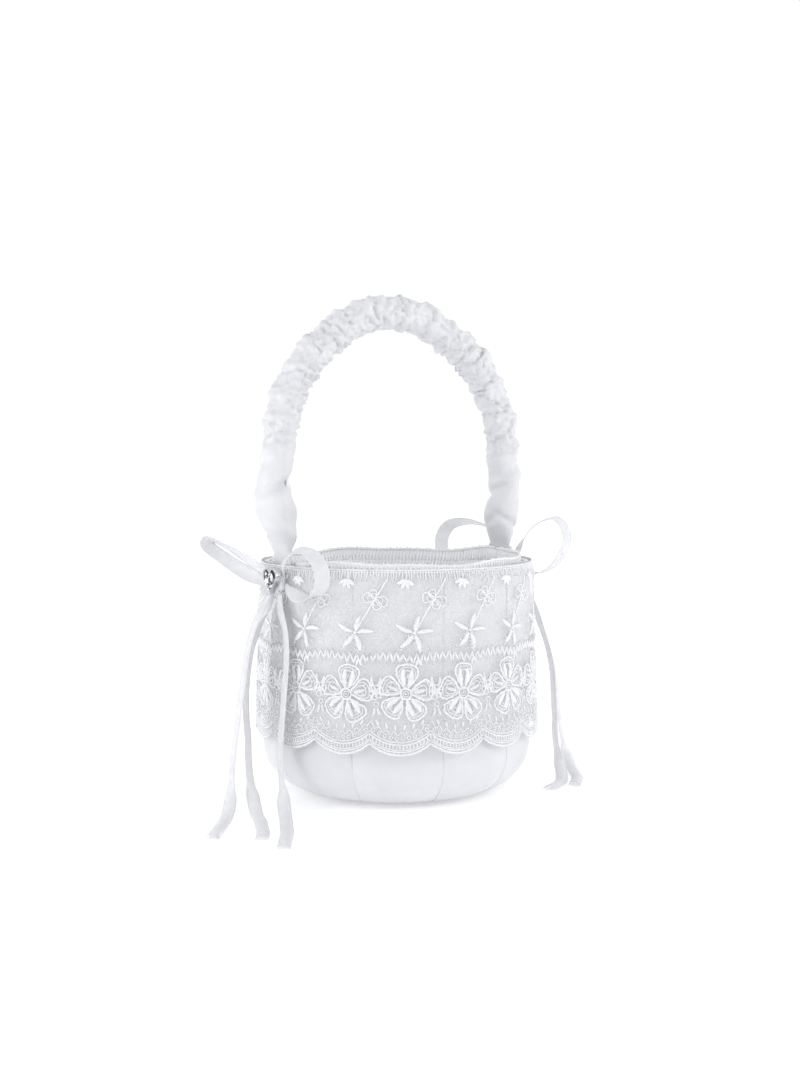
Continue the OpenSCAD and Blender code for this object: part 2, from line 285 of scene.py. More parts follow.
WAVE_PERIOD = 2 * math.pi / 20      # of Blender's wave texture at a scale of 1, in metres
SATIN_THREAD = 0.00032              # metres, as are the next three
WARP, WEFT = 0.00036, 0.00031
SELVEDGE = (0.0026, 0.0031)         # where a ribbon's dense edge starts and is full, from its middle
RIBBON_W = 7
# Colours of the painted reflections on the stone's facets, from a dark facet to a bright glint
STONE_GLINT_COLOURS = [(0.0, (0.012, 0.013, 0.016)), (0.45, (0.07, 0.075, 0.085)),
                 (0.7, (0.35, 0.36, 0.39)), (1.0, (0.95, 0.96, 1.0))]


class Nodes:
    """A material's node tree, with short calls to add and join nodes"""

    def __init__(self, name, **shader):
        self.material = bpy.data.materials.new(name)
        self.material.use_nodes = True
        self.tree = self.material.node_tree
        self.shader = self.tree.nodes["Principled BSDF"]
        for socket, value in shader.items():
            self.shader.inputs[socket.replace("_", " ")].default_value = value

    def add(self, kind, inputs=None, **settings):
        made = self.tree.nodes.new(kind)
        for key, value in settings.items():
            setattr(made, key, value)
        for socket, value in (inputs or {}).items():
            if isinstance(value, bpy.types.NodeSocket):
                self.tree.links.new(value, made.inputs[socket])
            else:
                made.inputs[socket].default_value = value
        return made

    def place(self, source, scale=(1, 1, 1)):
        """Texture place, from UV or Object coordinates in metres, times a scale"""
        where = self.add("ShaderNodeTexCoord").outputs[source]
        return self.add("ShaderNodeMapping", {"Vector": where, "Scale": scale}).outputs["Vector"]

    def noise(self, place, scale, detail=3.0, rough=0.55):
        inputs = {"Vector": place, "Scale": scale, "Detail": detail, "Roughness": rough}
        return self.add("ShaderNodeTexNoise", inputs).outputs["Fac"]

    def wave(self, place, period, direction="X", distortion=0.0):
        """Bands with a period given in metres"""
        inputs = {"Vector": place, "Scale": WAVE_PERIOD / period, "Distortion": distortion}
        return self.add("ShaderNodeTexWave", inputs, bands_direction=direction).outputs["Fac"]

    def ramp(self, fac, stops):
        made = self.add("ShaderNodeValToRGB", {"Fac": fac})
        line = made.color_ramp.elements
        while len(line) < len(stops):
            line.new(0.5)
        for stop, (position, colour) in zip(line, stops):
            stop.position = position
            stop.color = (*colour, 1)
        return made.outputs["Color"]

    def tint(self, fac, low, high):
        """Base colour that drifts between two colours"""
        self.join("Base Color", self.ramp(fac, [(0.3, low), (0.7, high)]))

    def math(self, operation, a, b):
        return self.add("ShaderNodeMath", {0: a, 1: b}, operation=operation).outputs["Value"]

    def spread(self, value, low, high, start=0.0, end=1.0):
        """Maps a range from start to end onto one from low to high"""
        inputs = {"Value": value, "From Min": start, "From Max": end, "To Min": low, "To Max": high}
        return self.add("ShaderNodeMapRange", inputs).outputs["Result"]

    def bump(self, height, depth, strength=1.0, before=None):
        """Bump of a depth given in metres, over an earlier one"""
        inputs = {"Height": height, "Distance": depth, "Strength": strength}
        if before is not None:
            inputs["Normal"] = before
        return self.add("ShaderNodeBump", inputs).outputs["Normal"]

    def join(self, socket, output):
        self.tree.links.new(output, self.shader.inputs[socket])


def satin(name, low, high):
    """Satin: fine close threads, faint slubs and a soft sheen"""
    n = Nodes(name, Sheen_Weight=0.2, Sheen_Roughness=0.3)
    where = n.place("UV")
    threads = n.wave(where, SATIN_THREAD, "X", 0.6)
    slubs = n.noise(n.place("UV", (1, 0.06, 1)), 1500, 2.0)
    soft = n.noise(where, 60, 4.0)
    n.tint(soft, low, high)
    n.join("Roughness", n.spread(n.noise(where, 340, 2.0), 0.27, 0.38))
    first = n.bump(soft, 0.0004, 0.5)
    second = n.bump(slubs, 0.00006, 0.7, first)
    n.join("Normal", n.bump(threads, 0.00004, 0.5, second))
    return n.material


def thread_white(name, period, low, high):
    """Glossy embroidery thread, with the stitches' own ridges"""
    n = Nodes(name, Sheen_Weight=0.35, Sheen_Roughness=0.3)
    where = n.place("UV")
    twist = n.wave(where, period, "DIAGONAL", 0.8)
    fuzz = n.noise(where, 2600, 3.0)
    n.tint(n.noise(where, 150, 3.0), low, high)
    n.join("Roughness", n.spread(fuzz, 0.32, 0.55))
    n.join("Normal", n.bump(fuzz, 0.00003, 0.6, n.bump(twist, 0.00006, 0.7)))
    return n.material


def organza(name, sheer, edge):
    """Sheer ribbon: fine crossed threads with see-through gaps, and dense woven edges"""
    n = Nodes(name, Roughness=0.32, Sheen_Weight=0.2, Sheen_Roughness=0.3)
    where = n.place("UV")
    weave = n.math("MAXIMUM", n.wave(where, WARP, "X", 0.3), n.wave(where, WEFT, "Y", 0.3))
    across = n.add("ShaderNodeSeparateXYZ", {"Vector": where}).outputs["X"]
    from_middle = n.math("ABSOLUTE", n.math("SUBTRACT", across, RIBBON_W / 2 * MM), 0)
    selvedge = n.spread(from_middle, 0.0, 1.0, *SELVEDGE)
    open_part = n.spread(weave, sheer - 0.1, sheer + 0.12)
    n.join("Alpha", n.math("MAXIMUM", open_part, n.math("MULTIPLY", selvedge, edge)))
    n.tint(n.noise(where, 220), (0.8, 0.805, 0.825), (0.88, 0.885, 0.9))
    n.join("Normal", n.bump(weave, 0.00005, 0.6))
    return n.material


def tulle(name):
    """Fine net: threads round small cells, open between"""
    n = Nodes(name, Roughness=0.6, Sheen_Weight=0.2)
    where = n.place("UV")
    inputs = {"Vector": where, "Scale": 1500.0, "Randomness": 0.7}
    cells = n.add("ShaderNodeTexVoronoi", inputs, feature="DISTANCE_TO_EDGE").outputs["Distance"]
    net = n.spread(cells, 0.36, 0.17, 0.05, 0.16)
    n.join("Alpha", net)
    n.tint(n.noise(where, 90), (0.88, 0.885, 0.9), (0.95, 0.95, 0.96))
    n.join("Normal", n.bump(net, 0.00003, 0.4))
    return n.material


def card(name, low, high):
    """Pressed board: a mottled fibre surface"""
    n = Nodes(name, Roughness=0.85)
    where = n.place("Object")
    n.tint(n.noise(where, 240, 5.0), low, high)
    n.join("Normal", n.bump(n.noise(where, 900, 6.0, 0.7), 0.00012, 0.7))
    return n.material


def pale_plastic(name):
    """Plain moulded plastic with a faint grain"""
    n = Nodes(name, Roughness=0.45)
    where = n.place("Object")
    n.tint(n.noise(where, 60), (0.8, 0.8, 0.8), (0.87, 0.87, 0.87))
    n.join("Roughness", n.spread(n.noise(where, 500), 0.38, 0.55))
    n.join("Normal", n.bump(n.noise(where, 1800), 0.00004, 0.4))
    return n.material


def silver(name):
    """Bright plated metal with fine rubbing marks"""
    n = Nodes(name, Metallic=1.0)
    marks = n.noise(n.place("Object", (1, 1, 0.1)), 4200, 4.0)
    n.tint(n.noise(n.place("Object"), 700), (0.55, 0.55, 0.57), (0.78, 0.78, 0.8))
    n.join("Roughness", n.spread(marks, 0.12, 0.3))
    n.join("Normal", n.bump(marks, 0.00002, 0.4))
    return n.material


def cut_stone(name):
    """Foil backed stone: each facet has a painted reflection, a fixed tone from near black to bright
    """
    n = Nodes(name, Metallic=0.65, Coat_Weight=1.0, Coat_Roughness=0.03)
    tone = n.add("ShaderNodeAttribute", attribute_name="tone").outputs["Fac"]
    n.join("Base Color", n.ramp(tone, STONE_GLINT_COLOURS))
    n.join("Roughness", n.spread(n.noise(n.place("Object"), 2500), 0.05, 0.14))
    return n.material


def floor_white(name):
    """Matt white that stays white in the basket's soft shade"""
    n = Nodes(name, Roughness=0.9, Specular_IOR_Level=0.1, Emission_Color=(1, 1, 1, 1),
              Emission_Strength=0.26)
    n.tint(n.noise(n.place("Object"), 3), (0.93, 0.93, 0.93), (0.95, 0.95, 0.95))
    return n.material


WHITE_SATIN = satin("white_satin", (0.69, 0.695, 0.72), (0.745, 0.75, 0.77))
SLEEVE_SATIN = satin("sleeve_satin", (0.7, 0.705, 0.728), (0.76, 0.765, 0.782))
LINING_SATIN = satin("lining_satin", (0.84, 0.845, 0.86), (0.9, 0.902, 0.912))
LACE_THREAD = thread_white("lace_thread", 0.0004, (0.82, 0.825, 0.84), (0.9, 0.905, 0.912))
# Braid thread is lighter than the lace thread as painted light, to offset the shade that falls on the
# braid inside the rim
BRAID_THREAD_PAINTED_LIGHT = thread_white("braid_thread", 0.0006, (0.93, 0.93, 0.94), (0.98, 0.98, 0.985))
RIBBON_SHEER = organza("sheer_ribbon", 0.62, 0.97)
KNOT_SHEER = organza("knotted_ribbon", 0.8, 0.95)
NET = tulle("tulle_net")
BROWN_CARD = card("cup_card", (0.62, 0.5, 0.36), (0.74, 0.62, 0.46))
WHITE_CARD = card("base_card", (0.8, 0.8, 0.8), (0.88, 0.88, 0.88))
PLASTIC = pale_plastic("strip_plastic")
SILVER = silver("heart_silver")
CUT_STONE = cut_stone("cut_stone")


def make_floor():
    corners = np.array([(-1, -1, 0), (1, -1, 0), (1, 1, 0), (-1, 1, 0)]) * FLOOR_HALF * MM
    floor = add_mesh("floor", corners, [(0, 1, 2, 3)])
    floor.data.materials.append(floor_white("floor_white"))


# ---- Ribbons ----

RIBBON_T = 0.16
RIBBON_POINTS = 11      # across a ribbon, on each face
LOOP_CURL = 25          # degrees that a ribbon curls across its width
TAIL_CURLS = (70, 60)   # of a hanging tail, and how much more where it lies on the floor
TAIL_CUT = 2.4          # slant of a tail's cut end
TAIL_OPENS = 12         # length over which a tail opens out from its knot
TAIL_SPREAD = 0.62      # of a tail's width that is open at the knot
TAIL_LEAVES_WALL = 78   # height where a tail has turned from the wall to how it hangs
TAIL_LANDS = 13         # height where it starts to turn towards how it lies
TAIL_FLAT = 3           # height below which its width is square to its run
LOOP_OPENS = 14         # length over which a loop opens out from its knot
LOOP_SPREAD = 0.45      # of a loop's width that is open at the knot
KNOT_HALF_T = 1.75
KNOT_HALF_W = 3.7
STONE_SIDES = 18
STONE_CROWN = 1.4       # height of the facets over the girdle
# Painted reflection of each facet, picked at random: dark facets and bright glints
PAINTED_FACET_GLINTS = (0.0, 0.0, 0.05, 0.1, 0.2, 0.35, 0.45, 0.62, 0.85, 1.0)
BEAD_R = 0.32
BEAD_COUNT = 40
BEAD_INSET = 0.7        # of the row of beads from the setting's width and height


def ribbon(node, path, sides, widths, curl, cut=0.0):
    """Ribbon in place of a CAD node. Its section is curled to an arc of some degrees, and its far
    end is cut at a slant."""
    heading = unit(np.gradient(path, axis=0))
    side = unit(sides - (sides * heading).sum(-1, keepdims=True) * heading)
    face = np.cross(heading, side)
    face = face * (1 if face[-1, 2] > 0 else -1)
    u = np.linspace(-1, 1, RIBBON_POINTS)
    across = np.concatenate([u, u[::-1]])[None]
    layer = np.repeat([0.5, -0.5], RIBBON_POINTS)[None] * RIBBON_T
    half = np.radians(np.broadcast_to(curl, len(path)))[:, None] / 2
    radius = widths[:, None] / 2 / half
    wide = (radius + layer) * np.sin(across * half)
    lift = (radius + layer) * np.cos(across * half) - radius * np.cos(half)
    points = path[:, None] + side[:, None] * wide[..., None] + face[:, None] * lift[..., None]
    points[-1] += heading[-1] * cut * (1 + across[0, :, None]) / 2
    uvs = points_of((across + 1) * RIBBON_W / 2, along_path(path)[:, None])
    faces = tube_faces(len(path), 2 * RIBBON_POINTS)
    made = piece(node + "_ribbon", points, faces, RIBBON_SHEER, uvs)
    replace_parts(made, node)
    return made


BOWS = {end: bow_frame(end + "_knot") for end in ("front", "back")}


def bow_of(node):
    """The bow that a node belongs to, as bow_frame gives it"""
    return BOWS[node.split("_")[0]]


# Routes of the tails, from the knot down to the floor and along it, in metres
TAIL_ROUTES = {
    "front_tail_a": [
        (-0.0695, -0.008, 0.094), (-0.073, -0.008, 0.088), (-0.077, -0.008, 0.080),
        (-0.080, -0.008, 0.070), (-0.082, -0.008, 0.058), (-0.084, -0.008, 0.045),
        (-0.086, -0.008, 0.032), (-0.088, -0.009, 0.020), (-0.090, -0.012, 0.011),
        (-0.093, -0.017, 0.004), (-0.097, -0.023, 0.001), (-0.101, -0.029, 0.0006),
        (-0.105, -0.035, 0.0006), (-0.109, -0.041, 0.0006), (-0.113, -0.047, 0.0006)],
    "front_tail_b": [
        (-0.068, -0.009, 0.0935), (-0.070, -0.005, 0.086), (-0.073, -0.003, 0.078),
        (-0.076, -0.002, 0.068), (-0.078, -0.002, 0.056), (-0.079, -0.003, 0.043),
        (-0.079, -0.005, 0.030), (-0.080, -0.008, 0.019), (-0.081, -0.013, 0.010),
        (-0.082, -0.019, 0.003), (-0.084, -0.026, 0.0008), (-0.086, -0.034, 0.0006),
        (-0.089, -0.042, 0.0006), (-0.092, -0.050, 0.0006), (-0.096, -0.058, 0.0006)],
    "front_tail_c": [
        (-0.0664, -0.012, 0.094), (-0.067, -0.014, 0.087), (-0.066, -0.017, 0.078),
        (-0.066, -0.018, 0.066), (-0.067, -0.018, 0.054), (-0.068, -0.018, 0.042),
        (-0.069, -0.018, 0.030), (-0.070, -0.020, 0.019), (-0.071, -0.024, 0.010),
        (-0.073, -0.030, 0.003), (-0.076, -0.038, 0.0008), (-0.080, -0.047, 0.0006),
        (-0.084, -0.056, 0.0006), (-0.089, -0.065, 0.0006), (-0.094, -0.074, 0.0006)],
    "back_tail_a": [
        (0.0684, 0.003, 0.0935), (0.073, -0.003, 0.088), (0.076, -0.007, 0.080),
        (0.078, -0.010, 0.070), (0.080, -0.013, 0.059), (0.081, -0.015, 0.048),
        (0.081, -0.016, 0.037), (0.081, -0.017, 0.026), (0.080, -0.019, 0.016),
        (0.079, -0.023, 0.007), (0.076, -0.029, 0.002), (0.072, -0.035, 0.0006),
        (0.067, -0.041, 0.0006), (0.061, -0.046, 0.0006), (0.054, -0.050, 0.0006)],
    "back_tail_b": [
        (0.0698, 0.007, 0.093), (0.074, 0.003, 0.088), (0.078, -0.001, 0.080),
        (0.081, -0.004, 0.070), (0.084, -0.007, 0.059), (0.086, -0.009, 0.048),
        (0.087, -0.010, 0.037), (0.088, -0.011, 0.026), (0.088, -0.013, 0.016),
        (0.088, -0.017, 0.007), (0.086, -0.024, 0.002), (0.083, -0.031, 0.0006),
        (0.079, -0.038, 0.0006), (0.074, -0.044, 0.0006), (0.068, -0.050, 0.0006)],
}

# Turn round Z of each tail's width where it hangs, seen nearly edge on from the front
TAIL_HANGS = {"front_tail_a": 266, "front_tail_b": 223, "front_tail_c": 264,
              "back_tail_a": 77, "back_tail_b": 44}


def tail_sides(path, wall_turn, hang):
    """Directions of a tail's width: along the wall at the knot, turned as it hangs, then flat"""
    run = np.gradient(path, axis=0)
    hanging_side = turned(hang, 1.0)
    beside = unit(points_of(-run[:, 1], run[:, 0], 0))
    beside = beside * np.where(beside @ hanging_side < 0, -1, 1)[:, None]
    height = path[:, 2:3]
    at_knot = smooth_step((height - TAIL_LEAVES_WALL) / 14)
    on_floor = smooth_step((TAIL_LANDS - height) / 11)
    wall = turned(wall_turn, 1.0)
    wall = wall * (1 if wall @ hanging_side > 0 else -1)
    hanging = wall * at_knot + hanging_side * (1 - at_knot)
    flat = np.where(height < TAIL_FLAT, beside, beside[-1])
    return unit(hanging * (1 - on_floor) + flat * on_floor)


def make_tail(node, route, hang):
    """A tail hangs with its width along the wall and lies with its width square to its run"""
    path = smooth_path(np.array(route) / MM, 6)
    sides = tail_sides(path, bow_of(node)[0] + 90, hang)
    opened = smooth_step(along_path(path) / TAIL_OPENS)
    widths = RIBBON_W * (TAIL_SPREAD + (1 - TAIL_SPREAD) * opened)
    curl = TAIL_CURLS[0] + TAIL_CURLS[1] * smooth_step((14 - path[:, 2]) / 12)
    made = ribbon(node, path, sides, widths, curl, TAIL_CUT)


def make_tails():
    for node, route in TAIL_ROUTES.items():
        make_tail(node, route, TAIL_HANGS[node])


# Routes of the loops, each point [out from the knot's radius, along the wall, up], and the roll
# of the ribbon's width at even steps along them, from the knot round and back to it
LOOP_ROUTES = {
    "front_loop_right": (
        [(1, 5, 2), (3, 8, 8), (4, 15, 13.5), (5, 22, 14.5), (5.5, 27, 11.5), (5.5, 30, 6),
         (5, 29.5, -1), (4, 25, -5.5), (3, 18, -6), (1, 10, -4), (-0.5, 5, -2)],
        (90, 40, 15, 20, 5, -40, -90)),
    "front_loop_left": (
        [(1, -5, 2), (6, -10, 7), (12, -18, 12), (18, -26, 16), (21.5, -29, 17),
         (22, -29, 14), (16, -24, 9), (10, -16, 4), (4, -10, 0), (-0.5, -5, -2)],
        (90, 55, 36, 30, 36, 55, 90)),
    "back_loop_left": (
        [(1, 5, 2), (3, 7, 11), (4, 12, 18), (4, 20, 21), (4.5, 29, 22), (5, 37, 20), (5, 41, 14),
         (5, 41, 6), (4.5, 37, -1), (4, 28, -5), (3, 17, -5), (1, 10, -4), (-0.5, 5, -2)],
        (90, 20, 30, 50, 40, 0, -90)),
    "back_loop_right": (
        [(1, -5, 2), (3.5, -8, 11), (7, -13, 20), (11, -18, 24), (15, -22, 25), (18, -25, 20),
         (18.5, -26, 14), (16, -24, 6), (13, -21, 1), (9, -17, -2), (4, -11, -3), (-0.5, -5, -2)],
        (90, 20, 10, 10, 10, 0, -90)),
}


def bow_points(bow, route):
    """Places given as out from a bow's knot, along the wall and up, in the basket's frame"""
    turn, radius, height = bow
    out, along, up = np.array(route, float).T
    return turned(turn + np.degrees(along / radius), radius + out, height + up)


def make_loop(node, route, rolls):
    """Ribbon loop: gathered at the knot, then opened out, with a gentle roll along it"""
    bow = bow_of(node)
    path = smooth_path(bow_points(bow, route), 8)
    length = path_length(path)
    along = along_path(path)
    heading = unit(np.gradient(path, axis=0))
    middle = path[len(path) // 2] - path[0]
    side = unit(np.array([middle[1], -middle[0], 0.0]))
    side = side * (1 if side @ turned(bow[0], 1.0) > 0 else -1)
    side = unit(side - (heading @ side)[:, None] * heading)
    roll = np.radians(np.interp(along / length, np.linspace(0, 1, len(rolls)), rolls))[:, None]
    sides = side * np.cos(roll) + np.cross(heading, side) * np.sin(roll)
    opened = smooth_step(np.minimum(along, length - along) / LOOP_OPENS)
    widths = RIBBON_W * (LOOP_SPREAD + (1 - LOOP_SPREAD) * opened)
    ribbon(node, path, sides, widths, LOOP_CURL)


def make_loops():
    for node, (route, rolls) in LOOP_ROUTES.items():
        make_loop(node, route, rolls)


def make_knot(node):
    """Band of ribbon wrapped round the middle of a bow, with the ribbon's crowded folds"""
    low, high = node_box(node)
    turn, radius, height = bow_frame(node)
    tall = (high[2] - low[2]) / 2
    rings, sides = 25, 48
    u = np.linspace(-1, 1, rings)[:, None]
    a = full_turn(sides)[None]
    fold = 0.2 * np.sin(9 * u + 0.8 * np.sin(a)) + 0.1 * np.sin(17 * u + 2 * np.cos(a))
    full = (1 - 0.3 * np.abs(u) ** 3) + fold * 0.35
    out = KNOT_HALF_T * np.sign(np.cos(a)) * np.abs(np.cos(a)) ** 0.8 * full
    up = (tall - 0.2) * np.sin(a) * (1 - 0.12 * np.abs(u) ** 2 + fold * 0.12)
    along = KNOT_HALF_W * u * (1 - 0.06 * np.cos(a))
    points = turned(turn + np.degrees(along / radius), radius + out, height + up)
    uvs = points_of((u + 1) * RIBBON_W / 2, a * tall)
    made = piece(node + "_band", points, tube_faces(rings, sides), KNOT_SHEER, uvs)
    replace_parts(made, node)


# ---- Hearts ----

def heart_outline(wide, high, count, shift=0.0):
    """Points of a heart standing on its point, as in the design of its setting"""
    a = 2 * np.pi * (np.arange(count) + shift) / count
    x = -np.sin(a) ** 3 * wide / 2
    y = (13 * np.cos(a) - 5 * np.cos(2 * a) - 2 * np.cos(3 * a) - np.cos(4 * a) + 2.5) / 29 * high
    return np.stack([x, y], -1)


def heart_size(node):
    """The bow of a heart node, its width and height, and its back and front along the bow's line"""
    bow = bow_of(node)
    points = mesh_points(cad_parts[node].data) / MM
    out = points @ turned(bow[0], 1.0)
    along = points @ turned(bow[0] + 90, 1.0)
    return bow, np.ptp(along), np.ptp(points[:, 2]), out.min(), out.max()


def heart_place(bow, flat, out):
    """Turns flat heart points into places, out from the basket's axis along a bow's own line"""
    along = flat[:, 0:1] * turned(bow[0] + 90, 1.0)
    return turned(bow[0], 1.0) * out + along + np.array([0, 0, 1]) * (bow[2] + flat[:, 1:2])


def make_stone(node, seed):
    """Cut heart: a girdle, two rows of crown facets and a table, each facet with its own painted
    reflection
    """
    bow, wide, high, back, front = heart_size(node)
    crown = front - STONE_CROWN
    n = STONE_SIDES
    rings = [(1.0, back, 0.0), (1.0, crown, 0.0), (0.84, crown + 0.6 * STONE_CROWN, 0.5),
             (0.6, front - 0.15, 0.0), (0.3, front, 0.5)]
    verts = np.vstack([heart_place(bow, heart_outline(wide * k, high * k, n, shift), out)
                       for k, out, shift in rings])
    faces = [list(range(n)), list(range(4 * n, 5 * n))]
    for i in range(n):
        k = (i + 1) % n
        faces += [[i, k, n + k, n + i],
                  [n + i, n + k, 2 * n + i],
                  [2 * n + i, n + k, 2 * n + k],
                  [2 * n + i, 2 * n + k, 3 * n + k],
                  [2 * n + i, 3 * n + k, 3 * n + i],
                  [3 * n + i, 3 * n + k, 4 * n + i],
                  [4 * n + i, 3 * n + k, 4 * n + k]]
    made = piece(node + "_cut", verts, faces, CUT_STONE, smooth=False)
    facets = np.random.default_rng(seed).choice(PAINTED_FACET_GLINTS, len(faces))
    tone = made.data.attributes.new("tone", "FLOAT", "FACE")
    tone.data.foreach_set("value", facets.astype(np.float32))
    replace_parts(made, node)


def make_beads(node):
    """Row of tiny beads along the edge of a heart setting"""
    bow, wide, high, _, front = heart_size(node)
    rows, sides = 6, 8
    a = full_turn(sides)[None]
    b = np.linspace(-np.pi / 2, np.pi / 2, rows)[:, None]
    ball = BEAD_R * points_of(np.cos(b) * np.cos(a), np.cos(b) * np.sin(a), np.sin(b))
    outline = heart_outline(wide - BEAD_INSET, high - BEAD_INSET, BEAD_COUNT)
    points = heart_place(bow, outline, front)[:, None] + ball.reshape(-1, 3)
    faces = [grid_faces(rows, sides, wrap_cols=True) + k * rows * sides for k in range(BEAD_COUNT)]
    made = piece(node + "_beads", points, np.vstack(faces), SILVER)
    weld = made.modifiers.new("weld", "WELD")
    weld.merge_threshold = 1e-6


def make_hearts():
    for k, end in enumerate(("front", "back")):
        make_knot(end + "_knot")
        make_stone(end + "_heart_stone", 41 + k)
        make_beads(end + "_heart_setting")


def dress_frame():
    """Gives the CAD pieces that keep their shape their own materials"""
    looks = {"cup_shell": BROWN_CARD, "floor_board": BROWN_CARD, "base_disc": WHITE_CARD,
             "handle_strip": PLASTIC, "front_heart_setting": SILVER, "back_heart_setting": SILVER}
    for node, material in looks.items():
        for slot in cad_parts[node].material_slots:
            slot.material = material


# ---- Satin cover and lining ----

PLEAT_TURNS = (37, 32, 38, 36, 35, 38, 34, 37, 36, 37)  # spacing of the pleats round the wall
FIRST_PLEAT = 222.5                                     # turn of the first pleat's folded edge
PLEAT_TUCK = 2.8                                        # how far a panel runs under the next fold
PLEAT_RISE = 0.55                                       # how far a folded edge stands proud
PLEAT_ROLL = 1.0                                        # how far the panels round out below the lace
CLOTH_T = 0.2


def pleat_section():
    """Turn of each point of the pleated cloth's section, how far it is tucked, its rise and roll"""
    tuck = math.degrees(PLEAT_TUCK / COVER_R)
    panel = np.linspace(0, 1, 27) ** 1.35
    back = np.linspace(0, 1, 5)
    bulge, fall = 0.12 * np.sin(np.pi * panel), PLEAT_RISE * np.exp(-panel * 5.2)
    turns, start = [], FIRST_PLEAT
    for spacing in PLEAT_TURNS:
        end = start + spacing
        turns += [start + panel * spacing, end + 0 * back, [end - 0.12]]
        start = end
    tucks = [panel * tuck, tuck * (1 - back) + 0.16 * np.sin(np.pi * back), [0]]
    rises = [fall + bulge, 0.1 + back * (PLEAT_RISE - 0.3), [PLEAT_RISE - 0.1]]
    rolls = [np.sin(np.pi * panel), 0 * back, [0]]
    each = [np.tile(np.concatenate(part), len(PLEAT_TURNS)) for part in (tucks, rises, rolls)]
    return np.concatenate(turns), *each


def arc_points(centre, radius, start, end, count):
    a = np.radians(np.linspace(start, end, count))
    return [(centre[0] + radius * math.cos(t), centre[1] + radius * math.sin(t)) for t in a]


def cover_profile():
    """Radius and height of the satin, from under the base up the wall and over the rim"""
    corner = COVER_R - DISC_R - 3
    base, wall_r, inner = COVER_Z + 0.4, COVER_R - PLEAT_RISE, CUP_R - 2.1
    flat = [(r, base) for r in np.linspace(DISC_R - 6, DISC_R + 1, 4)]
    bend = arc_points((DISC_R + 3, base + corner), corner, -90, 0, 22)
    bend = [(r - PLEAT_RISE, z) for r, z in bend]
    wall = [(wall_r, z) for z in np.linspace(COVER_Z + corner + 2, RIM_Z - 2, 40)]
    top = arc_points((wall_r - 0.5, RIM_Z - 0.2), 0.5, 0, 90, 5)
    top += arc_points((inner + 0.5, RIM_Z - 0.2), 0.5, 90, 180, 5)
    tucked = [(inner, z) for z in (RIM_Z - 1.4, RIM_Z - 4, RIM_Z - 7)]
    return np.array(flat + bend + wall + top + tucked)


def revolve(profile, turns, lift):
    """Turns a profile round Z; lift moves each point square to the profile"""
    heading = unit(np.gradient(profile, axis=0))
    out = points_of(heading[:, 1], -heading[:, 0])
    r = profile[:, None, 0] + out[:, None, 0] * lift
    z = profile[:, None, 1] + out[:, None, 1] * lift
    return turned(turns, r, z)


def glued_cloth(name, node, material, profile, section, radius):
    """Cloth stretched over the cup: its points run along a profile, and section holds their turns
    round Z, plain and as they lie, and their lift."""
    turns, laid, lift = section
    along = along_path(profile)[:, None]
    uvs = points_of(np.radians(turns)[None] * radius, along)
    faces = grid_faces(len(profile), len(turns), wrap_cols=True)
    made = piece(name, revolve(profile, laid, lift), faces, material, uvs)
    thicken(made, CLOTH_T)
    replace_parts(made, node)


def make_satin_cover():
    """Cover in knife pleats, rounded out below the lace and gathered under the base"""
    profile = cover_profile()
    turns, tucks, rises, rolls = pleat_section()
    along, height = along_path(profile)[:, None], profile[:, None, 1]
    a = np.radians(turns)
    wall_share = smooth_step((along - 8) / 25)
    over_rim = smooth_step((height - RIM_Z + 2) / 1.5)
    drift = 1.1 * ripple(turns[None] * 1.1, height, 5, 220, 90, 5) * (1 - over_rim)
    puckers = 0.22 * np.sin(a * 57 + 2 * np.sin(a * 3)) * (1 - wall_share)
    swell = 0.2 * ripple(turns[None] * 1.1, along, 9, 60, 22, 11) * wall_share * (1 - over_rim)
    low = smooth_step((62 - along) / 30) * wall_share
    dents = np.tanh(ripple(turns[None] * 1.1, along * 0.22, 6, 34, 17, 31))
    swell = swell + (0.35 + 0.3 * dents + PLEAT_ROLL * rolls[None]) * low
    closed = smooth_step((along - 22) / 45)
    lift = rises[None] * (0.2 + 0.8 * closed) * (1 - over_rim) + puckers + swell
    tucked = tucks[None] * (0.12 + 0.88 * closed) * (1 - over_rim)
    section = turns, turns[None] + tucked + drift * 0.7, lift
    glued_cloth("satin_cover_pleated", "satin_cover", WHITE_SATIN, profile, section,
                COVER_R)


def make_lining():
    """Lining glued inside, with soft upright creases and a nearly flat floor"""
    corner = LINING_R - DISC_R - 3
    inner = LINING_R - 0.3
    floor_z = LINING_Z + 0.35
    flat = [(r, floor_z) for r in np.linspace(0.5, DISC_R + 2, 16)]
    bend = arc_points((inner - corner, floor_z + corner), corner, -90, 0, 14)
    wall = [(inner, z) for z in np.linspace(floor_z + corner + 3, RIM_Z - 1.6, 22)]
    lip = [(inner + 0.5, RIM_Z - 0.7), (inner + 1.3, RIM_Z - 0.4)]
    profile = np.array(flat + bend + wall + lip)
    turns = np.linspace(0, 360, 240, endpoint=False)
    along = along_path(profile)[:, None]
    out, height = profile[:, None, 0], profile[:, None, 1]
    a = np.radians(turns)
    wall_share = smooth_step((out - DISC_R) / 12)
    near_top = smooth_step((RIM_Z - 8 - height) / 14)
    creases = np.abs(ripple(turns[None] * 1.05, along * 0.12, 6, 26, 11, 21))
    floor_waves = ripple(out * np.cos(a), out * np.sin(a), 6, 34, 12, 8)
    lift = -0.75 * creases * wall_share * near_top - 0.16 * (1 + floor_waves) * (1 - wall_share)
    glued_cloth("lining_creased", "lining", LINING_SATIN, profile,
                (turns, turns[None], lift), LINING_R)


# ---- Ruched sleeve ----

